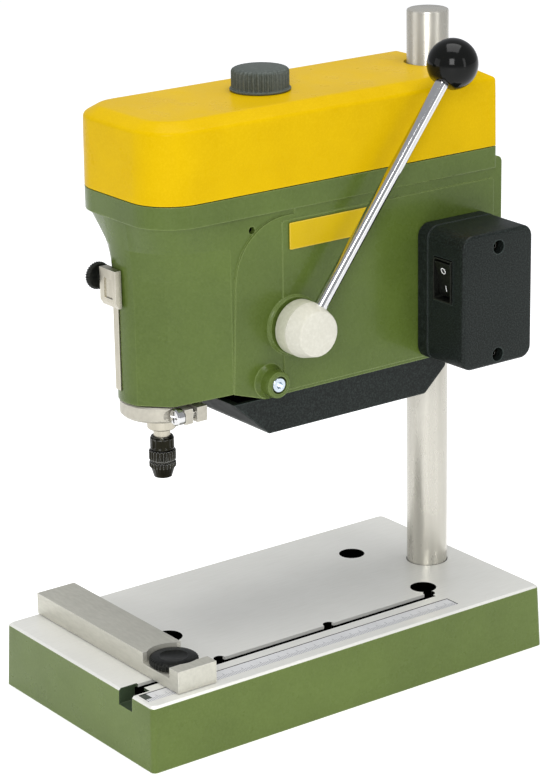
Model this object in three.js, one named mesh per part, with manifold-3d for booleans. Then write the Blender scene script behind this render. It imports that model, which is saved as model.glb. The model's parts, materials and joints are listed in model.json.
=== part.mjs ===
// Small bench drill press.
// Millimetres, +Z up. The origin is the middle of the base's underside, +X is the operator's
// right-hand side (feed lever and switch box) and +Y points back to the column.
import * as THREE from 'three';
import { mergeVertices } from 'three/addons/utils/BufferGeometryUtils.js';
import { ParametricGeometry } from 'three/addons/geometries/ParametricGeometry.js';
import Module from 'manifold-3d';

const wasm = await Module();
wasm.setup();

// ---------------------------------------------------------------- driving dimensions
const GAP = 0.3; // clearance between neighbouring pieces

const BASE = { width: 120, length: 220, height: 30, draft: 1.1, corner: 2.4 };
const TABLE = { halfWidth: 57.9, halfLength: 107.9, chamferDrop: 0.9 };
const SLOT = { x: 36.7, width: 4.8, lip: 1.5, undercut: 7.4, floor: 22.8, end: 62.5, entryEnd: -99.8 };
const ENTRY = { left: 33.2, right: 43.4 };
const SLOT_NOTCHES = { places: [-56.5, 4, SLOT.end], radius: 2.8 };
const SCALE = { x: 48.5, width: 8.2, y0: -106.4, y1: 64.8, depth: 1 };
const BOLT_HOLE = { x: 27, y: 65, radius: 6.1 };
const DRILL_HOLE_RADIUS = 6.5;
const SET_SCREW = { z: 15, radius: 2.7, length: 8, socket: 1.4, bore: 3 };

const COLUMN = { y: 89.5, radius: 9.5, bottom: 3, top: 295 };
const SPINDLE_Y = -60.5;
const MOTOR_Y = 28;
const FEED = { y: -14, z: 175, radius: 28, toothPitch: 4 };
const FEED_SHAFT = { radius: 5, left: -38.6, right: 44 };

const FENCE = { front: -92.5, depth: 20, left: -58.5, right: 54.6, height: 10, shelf: 5 };
const CLAMP = { y: -82.4, radius: 10.8, height: 3.8, stud: 2.05 };

const HEAD = { bottom: 144.5, rimBottom: 226.5, seam: 236.5, halfWidth: 34.2, rear: 104.5, wall: 3.8 };
const NECK = { radius: 18.7, flareY: -45.5, funnelStart: 187, creaseAngle: 17 };
const ARCH = { x0: 16.5, x1: 40, y0: -66, y1: -30, top: 149.5 };
const LUG = { y: 110, z: 180, halfHeight: 16, reach: 11, bore: 3.3 };
const RIM = { halfWidth: 35, front: -82.3, rear: 101, frontCorner: 20, rearCorner: 1.5 };
const COVER = { top: 271, shoulder: 267.3, flatHalfWidth: 27.5, wall: 2.4 };
const COVER_KNOB = { y: -4, radius: 12.7, flange: 13.4, height: 9.6 };
const COVER_POST_TOP = 241;
const TRAY = { top: 144.2, bottom: 127.5, halfWidth: 33, wall: 2.2, front: -45, rear: 73 };
const TRAY_SCREW = { y: -27, z: 152, top: 41.9 };

const QUILL = { radius: 14, bore: 7, bottom: 139.2, top: 212 };
const BEARING = { outer: 9.5, inner: 4.3, height: 6 };
const RING = { radius: 18, bottom: 136.5, top: 143.8 };
const EAR = { x0: 12.5, x1: 23, y0: -3.2, y1: 8.4, slot0: 1, slot1: 3.2, seat: 0.4 };
const RING_SCREW = { x: 19.5, z: 140, radius: 3.8, shank: 1.9 };
const CHUCK = { shank: 3.75, bore: 3, nose: 106.6, nutTop: 119.1, bodyTop: 125.4 };
const MIDDLE_STEP = { z: 251.7, motorRadius: 11.5, spindleRadius: 14.5 };
const STEP = { pitch: 6, rise: 3.5 };
const PULLEY_BOTTOM = MIDDLE_STEP.z - 1.5 * STEP.pitch;
const PULLEY_BEARING = { bottom: 219, height: 7, seatRadius: 11.3 };
const PULLEY_SLEEVE_RADIUS = 6.5;
const SPINDLE_TOP_RADIUS = 4;
const MOTOR = { bottom: 152, top: 222, noseTop: 227.6, radius: 20, shaftRadius: 2.5, screwX: 14 };
const BRIDGE = { bottom: 228, top: 231 };
const BELT_RADIUS = 2.1;

const HUB = { back: 37.8, shoulder: 45, front: 53.4, radius: 12.2, faceRadius: 9.5 };
const LEVER = { x: 45, radius: 3, root: 6, restAngle: 52.5 };
const BALL = { centre: 132, radius: 11.3, flat: 9.5 };

const RAIL = { x: [-5.6, -1.8], y: [-79.9, -77.2], z: [149.4, 203] };
const STOP = { left: -10, right: 2, front: -83.3, back: -80.2, jaw: -79.2, bottom: 187.2, top: 204 };
const STOP_KNOB = { x: -16.2, y: -81, z: 198.5, radius: 6.1, width: 2.8, stem: 0.9, tip: 10.2 };

const BOX = { inner: 35, split: 42, outer: 66, y0: 55, y1: 95.8, z0: 146, z1: 208.2, corner: 6, wall: 2.4 };
const BOX_SCREWS = [[75.5, 151.2], [75.5, 200.5]];
const INLET = { x: 48.5, z: 160, bore: 2.8 };
const ROCKER = { x: 52.4, z: 186, width: 10.4, height: 17.6 };

// ---------------------------------------------------------------- finishes
const PAINT_GREEN = { color: 0x66783c, roughness: 0.35, metalness: 0 };
const COVER_YELLOW = { color: 0xe8c51c, roughness: 0.45, metalness: 0 };
const GROUND_STEEL = { color: 0xc9c6bf, roughness: 0.35, metalness: 0.9 };
const BRIGHT_STEEL = { color: 0xd8d8d4, roughness: 0.15, metalness: 1 };
const DARK_STEEL = { color: 0x3a3a36, roughness: 0.4, metalness: 0.8 };
const ALUMINIUM = { color: 0xc8c5bc, roughness: 0.4, metalness: 0.9 };
const LIGHT_COAT = { color: 0xdcdad2, roughness: 0.45, metalness: 0.2 };
const BLACK_PLASTIC = { color: 0x2b3032, roughness: 0.55, metalness: 0 };
const GREY_PLASTIC = { color: 0x4a5154, roughness: 0.6, metalness: 0 };
const GLOSS_BLACK = { color: 0x0a0a0a, roughness: 0.08, metalness: 0 };
const BRASS = { color: 0xb89b55, roughness: 0.4, metalness: 0.9 };
const RUBBER = { color: 0x1c1c1c, roughness: 0.8, metalness: 0 };
const LABEL = { color: 0xe3a81c, roughness: 0.5, metalness: 0 };

// ---------------------------------------------------------------- solids
const MERGE_DISTANCE = 1e-4;
const AXES = {
  x: [new THREE.Vector3(0, 1, 0), new THREE.Vector3(0, 0, 1), new THREE.Vector3(1, 0, 0)],
  y: [new THREE.Vector3(1, 0, 0), new THREE.Vector3(0, 0, 1), new THREE.Vector3(0, -1, 0)],
  z: [new THREE.Vector3(1, 0, 0), new THREE.Vector3(0, 1, 0), new THREE.Vector3(0, 0, 1)],
};

function toSolid(geometry) {
  const bare = geometry.clone();
  bare.deleteAttribute('normal');
  bare.deleteAttribute('uv');
  const merged = mergeVertices(bare, MERGE_DISTANCE);
  const index = merged.index.array;
  const triVerts = [];
  for (let i = 0; i < index.length; i += 3) {
    const [a, b, c] = [index[i], index[i + 1], index[i + 2]];
    if (a !== b && b !== c && c !== a) triVerts.push(a, b, c);
  }
  const vertProperties = new Float32Array(merged.attributes.position.array);
  const mesh = new wasm.Mesh({ numProp: 3, vertProperties, triVerts: new Uint32Array(triVerts) });
  return new wasm.Manifold(mesh);
}

function toGeometry(solid) {
  const mesh = solid.getMesh();
  const geometry = new THREE.BufferGeometry();
  geometry.setAttribute('position', new THREE.BufferAttribute(mesh.vertProperties, 3));
  geometry.setIndex(new THREE.BufferAttribute(mesh.triVerts, 1));
  geometry.computeVertexNormals();
  return geometry;
}

const join = (first, ...others) => others.reduce((sum, other) => sum.add(other), first);
const cut = (first, ...others) => others.reduce((rest, other) => rest.subtract(other), first);

// Turns a geometry made along +Z so that its length lies along the named axis. Along x its
// own x and y become Y and Z, and along y they become X and Z.
function along(axis, geometry) {
  const [u, v, w] = AXES[axis];
  return geometry.applyMatrix4(new THREE.Matrix4().makeBasis(u, v, w));
}

function block([x0, x1], [y0, y1], [z0, z1]) {
  const geometry = new THREE.BoxGeometry(x1 - x0, y1 - y0, z1 - z0);
  geometry.translate((x0 + x1) / 2, (y0 + y1) / 2, (z0 + z1) / 2);
  return toSolid(geometry);
}

// A straight rod between two places on its axis; the centre gives the other two coordinates.
function rod(axis, radius, [from, to], [a, b] = [0, 0], sides = 24) {
  const geometry = new THREE.CylinderGeometry(radius, radius, to - from, sides);
  geometry.rotateX(Math.PI / 2);
  geometry.translate(a, b, (from + to) / 2 * (axis === 'y' ? -1 : 1));
  return toSolid(along(axis, geometry));
}

// A turned piece: the profile is a list of [radius, height], from low to high, and its ends
// are joined to the axis.
function turned(axis, profile, [a, b] = [0, 0], sides = 24) {
  const low = [0, profile[0][1]];
  const high = [0, profile.at(-1)[1]];
  const points = [low, ...profile, high].map(([r, h]) => new THREE.Vector2(r, h));
  const geometry = new THREE.LatheGeometry(points, sides);
  geometry.rotateX(Math.PI / 2);
  if (axis === 'y') geometry.rotateX(Math.PI);
  geometry.translate(a, b, 0);
  return toSolid(along(axis, geometry));
}

// A closed outline through corners given as [u, v] or [u, v, fillet radius].
function outline(corners, arcSteps = 6) {
  const points = [];
  corners.forEach(([u, v, radius = 0], i) => {
    const corner = new THREE.Vector2(u, v);
    if (radius === 0) {
      points.push(corner);
      return;
    }
    const count = corners.length;
    const before = new THREE.Vector2(...corners[(i + count - 1) % count]).sub(corner).normalize();
    const after = new THREE.Vector2(...corners[(i + 1) % count]).sub(corner).normalize();
    const half = Math.acos(THREE.MathUtils.clamp(before.dot(after), -1, 1)) / 2;
    const centre = before.clone().add(after).normalize().multiplyScalar(radius / Math.sin(half)).add(corner);
    const reach = radius / Math.tan(half);
    const start = before.multiplyScalar(reach).add(corner).sub(centre);
    const end = after.multiplyScalar(reach).add(corner).sub(centre);
    let turn = end.angle() - start.angle();
    if (turn > Math.PI) turn -= 2 * Math.PI;
    if (turn < -Math.PI) turn += 2 * Math.PI;
    for (let step = 0; step <= arcSteps; step += 1) {
      const arm = start.clone().rotateAround(new THREE.Vector2(), turn * step / arcSteps);
      points.push(arm.add(centre));
    }
  });
  return new THREE.Shape(points);
}

function rectangle([u0, u1], [v0, v1], radius = 0, arcSteps = 5) {
  return outline([[u0, v0, radius], [u1, v0, radius], [u1, v1, radius], [u0, v1, radius]], arcSteps);
}

// An outline pushed along an axis between two places.
function plate(axis, shape, [from, to], bevel = 0) {
  const settings = { depth: to - from - 2 * bevel, bevelEnabled: bevel > 0, curveSegments: 8 };
  Object.assign(settings, { bevelSize: bevel, bevelThickness: bevel, bevelOffset: -bevel, bevelSegments: 1 });
  const geometry = new THREE.ExtrudeGeometry(shape, settings);
  geometry.translate(0, 0, (axis === 'y' ? -to : from) + bevel);
  return toSolid(along(axis, geometry));
}

// A solid through a stack of outlines, each with the same number of points, given as
// [outline, height] from the bottom up.
function lofted(levels) {
  const rings = levels.map(([shape]) => shape.getPoints(1));
  const middles = rings.map((ring) =>
    ring.reduce((sum, point) => sum.add(point), new THREE.Vector2()).divideScalar(ring.length));
  const count = rings[0].length;
  const rows = levels.length + 1;
  const surface = (u, v, target) => {
    const row = Math.round(v * rows) - 1;
    const level = THREE.MathUtils.clamp(row, 0, levels.length - 1);
    const place = row === level ? rings[level][Math.round(u * count) % count] : middles[level];
    target.set(place.x, place.y, levels[level][1]);
  };
  return toSolid(new ParametricGeometry(surface, count, rows));
}

function part(name, solid, finish) {
  const mesh = new THREE.Mesh(toGeometry(solid), new THREE.MeshStandardMaterial(finish));
  mesh.name = name;
  return mesh;
}

function group(position, ...children) {
  const holder = new THREE.Group();
  holder.position.set(...position);
  holder.add(...children);
  return holder;
}

// A socket-head or countersunk screw along an axis: head at the high end, shank below it.
function screw(axis, { head, headHeight, shank, length, socket }, top, centre, sides = 16) {
  const body = turned(axis, [
    [shank, top - headHeight - length], [shank, top - headHeight], [head, top - headHeight],
    [head, top - 0.4], [head - 0.4, top],
  ], centre, sides);
  return cut(body, rod(axis, socket, [top - headHeight * 0.6, top + 1], centre, 6));
}

// ---------------------------------------------------------------- base
function baseOutline(inset) {
  const halfWidth = BASE.width / 2 - inset;
  const halfLength = BASE.length / 2 - inset;
  return rectangle([-halfWidth, halfWidth], [-halfLength, halfLength], BASE.corner);
}

function slotCut() {
  const { x, width, lip, undercut, floor, end, entryEnd } = SLOT;
  const top = BASE.height + 1;
  const along = [entryEnd - 1, end];
  const narrow = block([x - width / 2, x + width / 2], along, [floor, top]);
  const wide = block([x - undercut / 2, x + undercut / 2], along, [floor, BASE.height - lip]);
  const entry = block([ENTRY.left, ENTRY.right], [-BASE.length / 2 - 1, entryEnd], [floor, top]);
  const notches = SLOT_NOTCHES.places.map((y) =>
    rod('z', SLOT_NOTCHES.radius, [floor, top], [x - width / 2, y], 12));
  return join(narrow, wide, entry, ...notches);
}

function baseCasting() {
  const { height, draft } = BASE;
  const { halfWidth, halfLength, chamferDrop } = TABLE;
  const tableOutline = rectangle([-halfWidth, halfWidth], [-halfLength, halfLength], BASE.corner);
  const shoulder = height - chamferDrop;
  const body = lofted([[baseOutline(0), 0], [baseOutline(draft), shoulder], [tableOutline, height]]);
  const boltHoles = [-1, 1].map((side) =>
    rod('z', BOLT_HOLE.radius, [-1, height + 1], [side * BOLT_HOLE.x, BOLT_HOLE.y], 20));
  const scaleBed = block([SCALE.x - SCALE.width / 2, SCALE.x + SCALE.width / 2],
    [SCALE.y0, SCALE.y1], [height - SCALE.depth, height + 1]);
  return cut(body, ...boltHoles, scaleBed, slotCut(),
    rod('z', DRILL_HOLE_RADIUS, [-1, height + 1], [0, SPINDLE_Y]),
    rod('z', COLUMN.radius + GAP, [COLUMN.bottom - GAP, height + 1], [0, COLUMN.y], 28),
    rod('y', SET_SCREW.bore, [COLUMN.y, BASE.length], [0, SET_SCREW.z], 12));
}

function scaleStrip() {
  const half = SCALE.width / 2 - GAP;
  const bottom = BASE.height - SCALE.depth + GAP;
  return block([SCALE.x - half, SCALE.x + half], [SCALE.y0 + GAP, SCALE.y1 - GAP],
    [bottom, BASE.height - 0.1]);
}

function column() {
  const { radius, bottom, top } = COLUMN;
  const profile = [[radius - 1, bottom], [radius, bottom + 1], [radius, top - 1], [radius - 1, top]];
  return turned('z', profile, [0, 0], 32);
}

function columnSetScrew() {
  const { z, radius, length, socket } = SET_SCREW;
  const start = COLUMN.y + COLUMN.radius + GAP;
  const grub = rod('y', radius, [start, start + length], [0, z], 12);
  return cut(grub, rod('y', socket, [start + length - 3, start + length + 1], [0, z], 6));
}

// ---------------------------------------------------------------- fence
function fenceBar() {
  const { front, depth, left, right, height, shelf } = FENCE;
  const floor = BASE.height + GAP;
  const above = [floor + shelf, floor + height + 1];
  const shape = rectangle([left, right], [front, front + depth], 0.8, 2);
  const bar = plate('z', shape, [floor, floor + height], 0.4);
  const recess = rod('z', CLAMP.radius + 1.2, above, [SLOT.x, CLAMP.y], 32);
  const opening = block([SLOT.x - 9, right - 6.6], [front - 1, front + depth + 1], above);
  return cut(bar, recess, opening, rod('z', 2.6, [0, floor + height], [SLOT.x, CLAMP.y], 16));
}

function fenceTeeBolt() {
  const { floor, undercut, lip } = SLOT;
  const half = undercut / 2 - GAP;
  const nutTop = BASE.height - lip - GAP;
  const head = block([-half, half], [-5, 5], [floor + GAP, nutTop]);
  const neck = block([-2.05, 2.05], [-2.8, 2.8], [nutTop - 1, BASE.height - 0.2]);
  const stud = rod('z', CLAMP.stud, [nutTop, BASE.height + FENCE.shelf + 2.8], [0, 0], 16);
  return join(head, neck, stud);
}

function flutedDisc(radius, [z0, z1], flutes, depth) {
  const points = [];
  for (let i = 0; i < flutes * 2; i += 1) {
    const angle = i * Math.PI / flutes;
    const reach = radius - (i % 2) * depth;
    points.push(new THREE.Vector2(reach * Math.cos(angle), reach * Math.sin(angle)));
  }
  return plate('z', new THREE.Shape(points), [z0, z1], 0.6);
}

function fenceKnob() {
  const bottom = BASE.height + FENCE.shelf + 2 * GAP;
  const disc = flutedDisc(CLAMP.radius, [bottom, bottom + CLAMP.height], 20, 0.5);
  return cut(disc, rod('z', CLAMP.stud + GAP, [0, bottom + 2.5], [0, 0], 16));
}

// ---------------------------------------------------------------- head casting
// Distance from a centre to an outline in the direction of an angle.
function reachOf(points, centre, angle) {
  const direction = new THREE.Vector2(Math.cos(angle), Math.sin(angle));
  let best = 0;
  points.forEach((a, i) => {
    const b = points[(i + 1) % points.length];
    const edge = b.clone().sub(a);
    const toStart = a.clone().sub(centre);
    const across = direction.cross(edge);
    if (Math.abs(across) < 1e-9) return;
    const distance = toStart.cross(edge) / across;
    const place = toStart.cross(direction) / across;
    if (place >= -1e-9 && place <= 1 + 1e-9) best = Math.max(best, distance);
  });
  return best;
}

function neckOutline() {
  const { radius, flareY, creaseAngle } = NECK;
  const side = HEAD.halfWidth - 0.6;
  const points = [[side, -10], [-side, -10], [-side, flareY]].map(([x, y]) => new THREE.Vector2(x, y));
  const steps = 22;
  for (let i = 0; i <= steps; i += 1) {
    const degrees = THREE.MathUtils.lerp(creaseAngle - 180, -creaseAngle, i / steps);
    const angle = THREE.MathUtils.degToRad(degrees);
    points.push(new THREE.Vector2(radius * Math.cos(angle), SPINDLE_Y + radius * Math.sin(angle)));
  }
  points.push(new THREE.Vector2(side, flareY));
  return points;
}

function funnelTopOutline() {
  const side = RIM.halfWidth - 2.2;
  const front = RIM.front + 0.8;
  const corner = RIM.frontCorner - 1;
  return outline([[side + 0.8, -10], [-side - 0.8, -10], [-side, -40],
    [-side, front, corner], [side, front, corner], [side, -40]], 8).getPoints(1);
}

// The front of the casting: a round neck that flares to the body and widens in a curve to the rim.
function neckAndFunnel() {
  const centre = new THREE.Vector2(0, -38);
  const [lower, upper] = [neckOutline(), funnelTopOutline()];
  const aroundSteps = 44;
  const riseSteps = 6;
  const heights = [HEAD.bottom];
  for (let i = 0; i <= riseSteps; i += 1) {
    heights.push(THREE.MathUtils.lerp(NECK.funnelStart, HEAD.rimBottom + 0.5, i / riseSteps));
  }
  const surface = (u, v, target) => {
    const level = Math.round(v * (heights.length + 1)) - 1;
    const row = THREE.MathUtils.clamp(level, 0, heights.length - 1);
    const angle = u * 2 * Math.PI + Math.PI / 2;
    const rise = Math.max(0, (heights[row] - NECK.funnelStart) / (HEAD.rimBottom - NECK.funnelStart));
    const spread = Math.min(1, rise) ** 2;
    const reach = THREE.MathUtils.lerp(reachOf(lower, centre, angle), reachOf(upper, centre, angle), spread);
    const closed = level === row ? reach : 0;
    target.set(centre.x + closed * Math.cos(angle), centre.y + closed * Math.sin(angle), heights[row]);
  };
  return toSolid(new ParametricGeometry(surface, aroundSteps, heights.length + 1));
}

function rimOutline(inset) {
  const side = RIM.halfWidth - inset;
  const front = RIM.front + inset;
  const rear = RIM.rear - inset;
  const corner = Math.max(1, RIM.frontCorner - inset);
  const back = Math.max(1, RIM.rearCorner - inset);
  return outline([[-side, front, corner], [side, front, corner], [side, rear, back], [-side, rear, back]], 7);
}

function castingShell() {
  const { bottom, rimBottom, seam, halfWidth, rear } = HEAD;
  const underRim = rimBottom - 2.5;
  const arcRadius = 27;
  const bodySide = outline([[NECK.flareY, bottom], [rear, bottom, 2], [rear, rimBottom + 5, 3],
    [-12, rimBottom + 5], [-12, underRim], [NECK.flareY + 3, underRim, arcRadius],
    [NECK.flareY, bottom + 1]]);
  const body = plate('x', bodySide, [-halfWidth, halfWidth], 0.8);
  const panelSide = rectangle([-19, 99.5], [bottom + 1.5, 222], 1, 2);
  const panel = plate('x', panelSide, [-halfWidth - 0.5, halfWidth + 0.5]);
  const rim = plate('z', rimOutline(0), [rimBottom, seam - GAP]);
  return join(neckAndFunnel(), body, panel, rim);
}

function castingHollow() {
  const { bottom, halfWidth, wall } = HEAD;
  const side = halfWidth - wall;
  const motorRoom = block([-side, side], [-38, 71], [bottom + wall, HEAD.seam + 1]);
  const beltRoom = plate('z', rimOutline(HEAD.wall), [HEAD.rimBottom + 1, HEAD.seam + 1]);
  const trayMouth = block([-side + 1, side - 1], [-28, 67], [bottom - 1, bottom + wall + 1]);
  const rearPockets = [-1, 1].map((s) => block(
    [Math.min(s * side, s * 19), Math.max(s * side, s * 19)], [75, 99], [bottom + wall, HEAD.rimBottom + 2]));
  return join(motorRoom, beltRoom, trayMouth, ...rearPockets);
}

function columnBoss() {
  const boss = rod('z', 15.5, [HEAD.bottom, HEAD.rimBottom + 4.6], [0, COLUMN.y], 28);
  return join(boss, clampLug(-1), clampLug(1));
}

function clampLug(side) {
  const { y, z, halfHeight, reach } = LUG;
  const shape = rectangle([HEAD.rear - 6, y + 6], [z - halfHeight, z + halfHeight], 5);
  const [inner, outer] = [side * 1, side * reach];
  return plate('x', shape, [Math.min(inner, outer), Math.max(inner, outer)]);
}

// On each side the lower edge arches up between the neck and the motor tray.
function edgeArch(side) {
  const { x0, x1, y0, y1, top } = ARCH;
  const low = HEAD.bottom - 1;
  const shape = outline([[y0, low], [y1, low], [y1, HEAD.bottom], [NECK.flareY, top], [y0, HEAD.bottom]]);
  return plate('x', shape, side > 0 ? [x0, x1] : [-x1, -x0]);
}

function spindleBores() {
  const { bottom, seam } = HEAD;
  const centre = [0, SPINDLE_Y];
  return [
    rod('z', QUILL.radius + GAP, [bottom - 1, 214], centre, 28),
    rod('z', PULLEY_BEARING.seatRadius - 2, [213, seam], centre, 28),
    rod('z', PULLEY_BEARING.seatRadius, [PULLEY_BEARING.bottom - GAP, seam], centre, 28),
    block([-5, 5], [SPINDLE_Y, -36], [bottom - 1, 214]),
  ];
}

function columnBore() {
  const height = [HEAD.bottom - 1, HEAD.seam + 1];
  return [
    rod('z', COLUMN.radius + GAP, height, [0, COLUMN.y], 28),
    block([-1, 1], [COLUMN.y, LUG.y + 8], height),
    rod('x', LUG.bore, [-20, 20], [LUG.y, LUG.z], 16),
  ];
}

function railGroove() {
  const [x0, x1] = RAIL.x;
  return block([x0 - GAP, x1 + GAP], [RAIL.y[0] - 4, RAIL.y[1] + GAP], [RAIL.z[0] - GAP, RAIL.z[1] + GAP]);
}

function headCasting() {
  const solid = join(cut(castingShell(), castingHollow()), columnBoss(),
    rod('x', HUB.radius + 0.7, [HEAD.halfWidth - 2, HUB.back - 1], [FEED.y, FEED.z], 32),
    turned('x', [[6.6, HEAD.halfWidth - 1], [6.2, 40], [5.2, 42]], [TRAY_SCREW.y, TRAY_SCREW.z], 24));
  return cut(solid, ...spindleBores(), ...columnBore(), railGroove(), edgeArch(-1), edgeArch(1),
    rod('x', FEED_SHAFT.radius + 1.3, [-40, 50], [FEED.y, FEED.z], 24),
    rod('x', 3.8, [39, 50], [TRAY_SCREW.y, TRAY_SCREW.z], 20),
    rod('x', 2.3, [20, 50], [TRAY_SCREW.y, TRAY_SCREW.z], 12),
    rod('x', 1.6, [25, 45], [-33.8, 220], 10));
}

function headClampScrew() {
  const size = { head: 5, headHeight: 6, shank: 3, length: 26, socket: 2.6 };
  return screw('x', size, LUG.reach + GAP + size.headHeight, [LUG.y, LUG.z]);
}

function headClampNut() {
  const nut = rod('x', 5.5, [-LUG.reach - GAP - 5, -LUG.reach - GAP], [LUG.y, LUG.z], 6);
  return cut(nut, rod('x', LUG.bore, [-30, 0], [LUG.y, LUG.z], 16));
}

// ---------------------------------------------------------------- cover, tray and their fasteners
function coverBody(inset) {
  const bottom = inset > 0 ? HEAD.seam - 1 : HEAD.seam;
  const crownInset = RIM.halfWidth - COVER.flatHalfWidth + inset;
  return lofted([[rimOutline(inset), bottom], [rimOutline(inset + 0.4), COVER.shoulder - inset],
    [rimOutline(crownInset), COVER.top - inset]]);
}

// A shell with a notch round the column, open to the rear so that it lifts straight off.
function beltCover() {
  const notch = COLUMN.radius + 1.2;
  return cut(coverBody(0), coverBody(COVER.wall),
    rod('z', notch, [HEAD.seam - 1, COVER.top + 1], [0, COLUMN.y], 28),
    block([-notch, notch], [COLUMN.y, RIM.rear + 1], [HEAD.seam - 1, COVER.top + 1]),
    rod('z', 3.2, [COVER.top - 5, COVER.top + 1], [0, COVER_KNOB.y], 16));
}

function coverKnob() {
  const { radius, flange, height } = COVER_KNOB;
  const bottom = COVER.top + GAP;
  const grip = flutedDisc(radius, [bottom + 0.8, bottom + height], 20, 0.9);
  const foot = rod('z', flange, [bottom, bottom + 0.9], [0, 0], 32);
  return cut(join(grip, foot), rod('z', 2.3, [bottom - 1, bottom + 4.2], [0, 0], 12));
}

function coverStud() {
  const foot = rod('z', 4, [COVER_POST_TOP + GAP, COVER_POST_TOP + 4], [0, 0], 6);
  return join(foot, rod('z', 2, [COVER_POST_TOP + 3, COVER.top + 4], [0, 0], 12));
}

const motorScrewPlaces = () => [[-MOTOR.screwX, MOTOR_Y], [MOTOR.screwX, MOTOR_Y]];

function motorBridge() {
  const { bottom, top } = BRIDGE;
  const side = HEAD.halfWidth - HEAD.wall - GAP;
  const sheet = plate('z', rectangle([-side, side], [-12, 62], 3), [bottom, top]);
  const post = rod('z', 4.5, [top - 1, COVER_POST_TOP], [0, COVER_KNOB.y], 16);
  return cut(join(sheet, post), rod('z', 9, [bottom - 1, top + 1], [0, MOTOR_Y], 24),
    ...motorScrewPlaces().map((place) => rod('z', 2.2, [bottom - 1, top + 1], place, 12)));
}

function traySide(inset) {
  const { top, bottom, front, rear } = TRAY;
  const lid = top + (inset ? 1 : 0);
  const slant = inset * 0.7;
  return outline([[front + inset, lid], [front + 18.5 + slant, bottom + inset],
    [rear - 12 - slant, bottom + inset, 3], [rear - inset, bottom + 11, 2], [rear - inset, lid]], 3);
}

function motorTray() {
  const { halfWidth, wall } = TRAY;
  const shell = plate('x', traySide(0), [-halfWidth, halfWidth], 0.8);
  const room = plate('x', traySide(wall), [-halfWidth + wall, halfWidth - wall]);
  const vents = [-18, -12, -6, 0, 6, 12, 18].map((x) =>
    block([x - 1.2, x + 1.2], [14, 44], [TRAY.bottom - 1, TRAY.bottom + 4]));
  const ringClearance = rod('z', RING.radius + 1.1, [TRAY.bottom - 1, TRAY.top + 1], [0, SPINDLE_Y], 32);
  return cut(shell, room, ringClearance, ...vents);
}

function trayScrew() {
  const size = { head: 3.4, headHeight: 2.6, shank: 2, length: 9, socket: 1.6 };
  return screw('x', size, TRAY_SCREW.top, [TRAY_SCREW.y, TRAY_SCREW.z]);
}

// ---------------------------------------------------------------- drive
// Each step is a round-bottomed groove between two thin flanges.
function steppedPulley(axisBore, radii, bottom) {
  const flange = 1.5;
  const root = BELT_RADIUS + GAP + 0.05;
  const half = [[flange, 0], [flange, 0.5], [-1.2, 0.75], [-root, 1.9]];
  const profile = radii.flatMap((radius, i) => {
    const z = bottom + i * STEP.pitch;
    const lower = half.map(([out, up]) => [radius + out, z + up]);
    const upper = half.map(([out, up]) => [radius + out, z + STEP.pitch - up]).reverse();
    return [...lower, ...upper];
  });
  const bore = rod('z', axisBore, [bottom - 30, bottom + 40], [0, 0], 12);
  return cut(turned('z', profile, [0, 0], 16), bore);
}

function spindlePulley() {
  const { spindleRadius } = MIDDLE_STEP;
  const bore = SPINDLE_TOP_RADIUS + GAP;
  const radii = [spindleRadius - STEP.rise, spindleRadius, spindleRadius + 1.9];
  const sleeve = rod('z', PULLEY_SLEEVE_RADIUS, [PULLEY_BEARING.bottom, PULLEY_BOTTOM + 1], [0, 0], 16);
  return join(steppedPulley(bore, radii, PULLEY_BOTTOM), cut(sleeve, rod('z', bore, [210, 250], [0, 0], 12)));
}

function pulleyBearing() {
  const { bottom, height, seatRadius } = PULLEY_BEARING;
  const ring = rod('z', seatRadius - GAP, [bottom, bottom + height], [0, 0], 20);
  return cut(ring, rod('z', PULLEY_SLEEVE_RADIUS + GAP, [bottom - 1, bottom + height + 1], [0, 0], 16));
}

function motorPulley() {
  const { motorRadius } = MIDDLE_STEP;
  const radii = [motorRadius + STEP.rise, motorRadius, motorRadius - 1.9];
  return steppedPulley(MOTOR.shaftRadius + GAP, radii, PULLEY_BOTTOM);
}

// The belt's centre line: an arc round each pulley and the straight run between them.
function driveBelt() {
  const { motorRadius, spindleRadius, z } = MIDDLE_STEP;
  const lean = Math.asin((spindleRadius - motorRadius) / (MOTOR_Y - SPINDLE_Y));
  const arc = (y, radius, from, to, steps) => Array.from({ length: steps + 1 }, (unused, i) => {
    const angle = THREE.MathUtils.lerp(from, to, i / steps);
    return new THREE.Vector3(radius * Math.cos(angle), y + radius * Math.sin(angle), z);
  });
  return beltRing([
    ...arc(MOTOR_Y, motorRadius, lean, Math.PI - lean, 10),
    ...arc(SPINDLE_Y, spindleRadius, Math.PI - lean, 2 * Math.PI + lean, 14),
  ]);
}

// A round belt: octagons around the closed centre line.
function beltRing(corners) {
  const surface = (u, v, target) => {
    const i = Math.round(u * corners.length) % corners.length;
    const before = corners[(i + corners.length - 1) % corners.length];
    const after = corners[(i + 1) % corners.length];
    const forward = after.clone().sub(before).normalize();
    const outward = new THREE.Vector3(forward.y, -forward.x, 0);
    const angle = v * 2 * Math.PI;
    target.copy(corners[i]).addScaledVector(outward, BELT_RADIUS * Math.cos(angle));
    target.z += BELT_RADIUS * Math.sin(angle);
  };
  return toSolid(new ParametricGeometry(surface, corners.length, 8));
}

function motorBody() {
  const { bottom, top, noseTop, radius, shaftRadius } = MOTOR;
  const profile = [[radius - 1, bottom], [radius, bottom + 1], [radius, top - 1], [radius - 1, top]];
  const nose = rod('z', 7, [top - 1, noseTop], [0, 0], 16);
  const bore = rod('z', shaftRadius + GAP, [bottom + 8, noseTop + 1], [0, 0], 16);
  return cut(join(turned('z', profile), nose), bore,
    ...motorScrewPlaces().map(([x]) => rod('z', 2.1, [top - 8, top + 8], [x, 0], 12)));
}

const motorShaft = () => rod('z', MOTOR.shaftRadius, [161, 262], [0, 0], 16);

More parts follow.
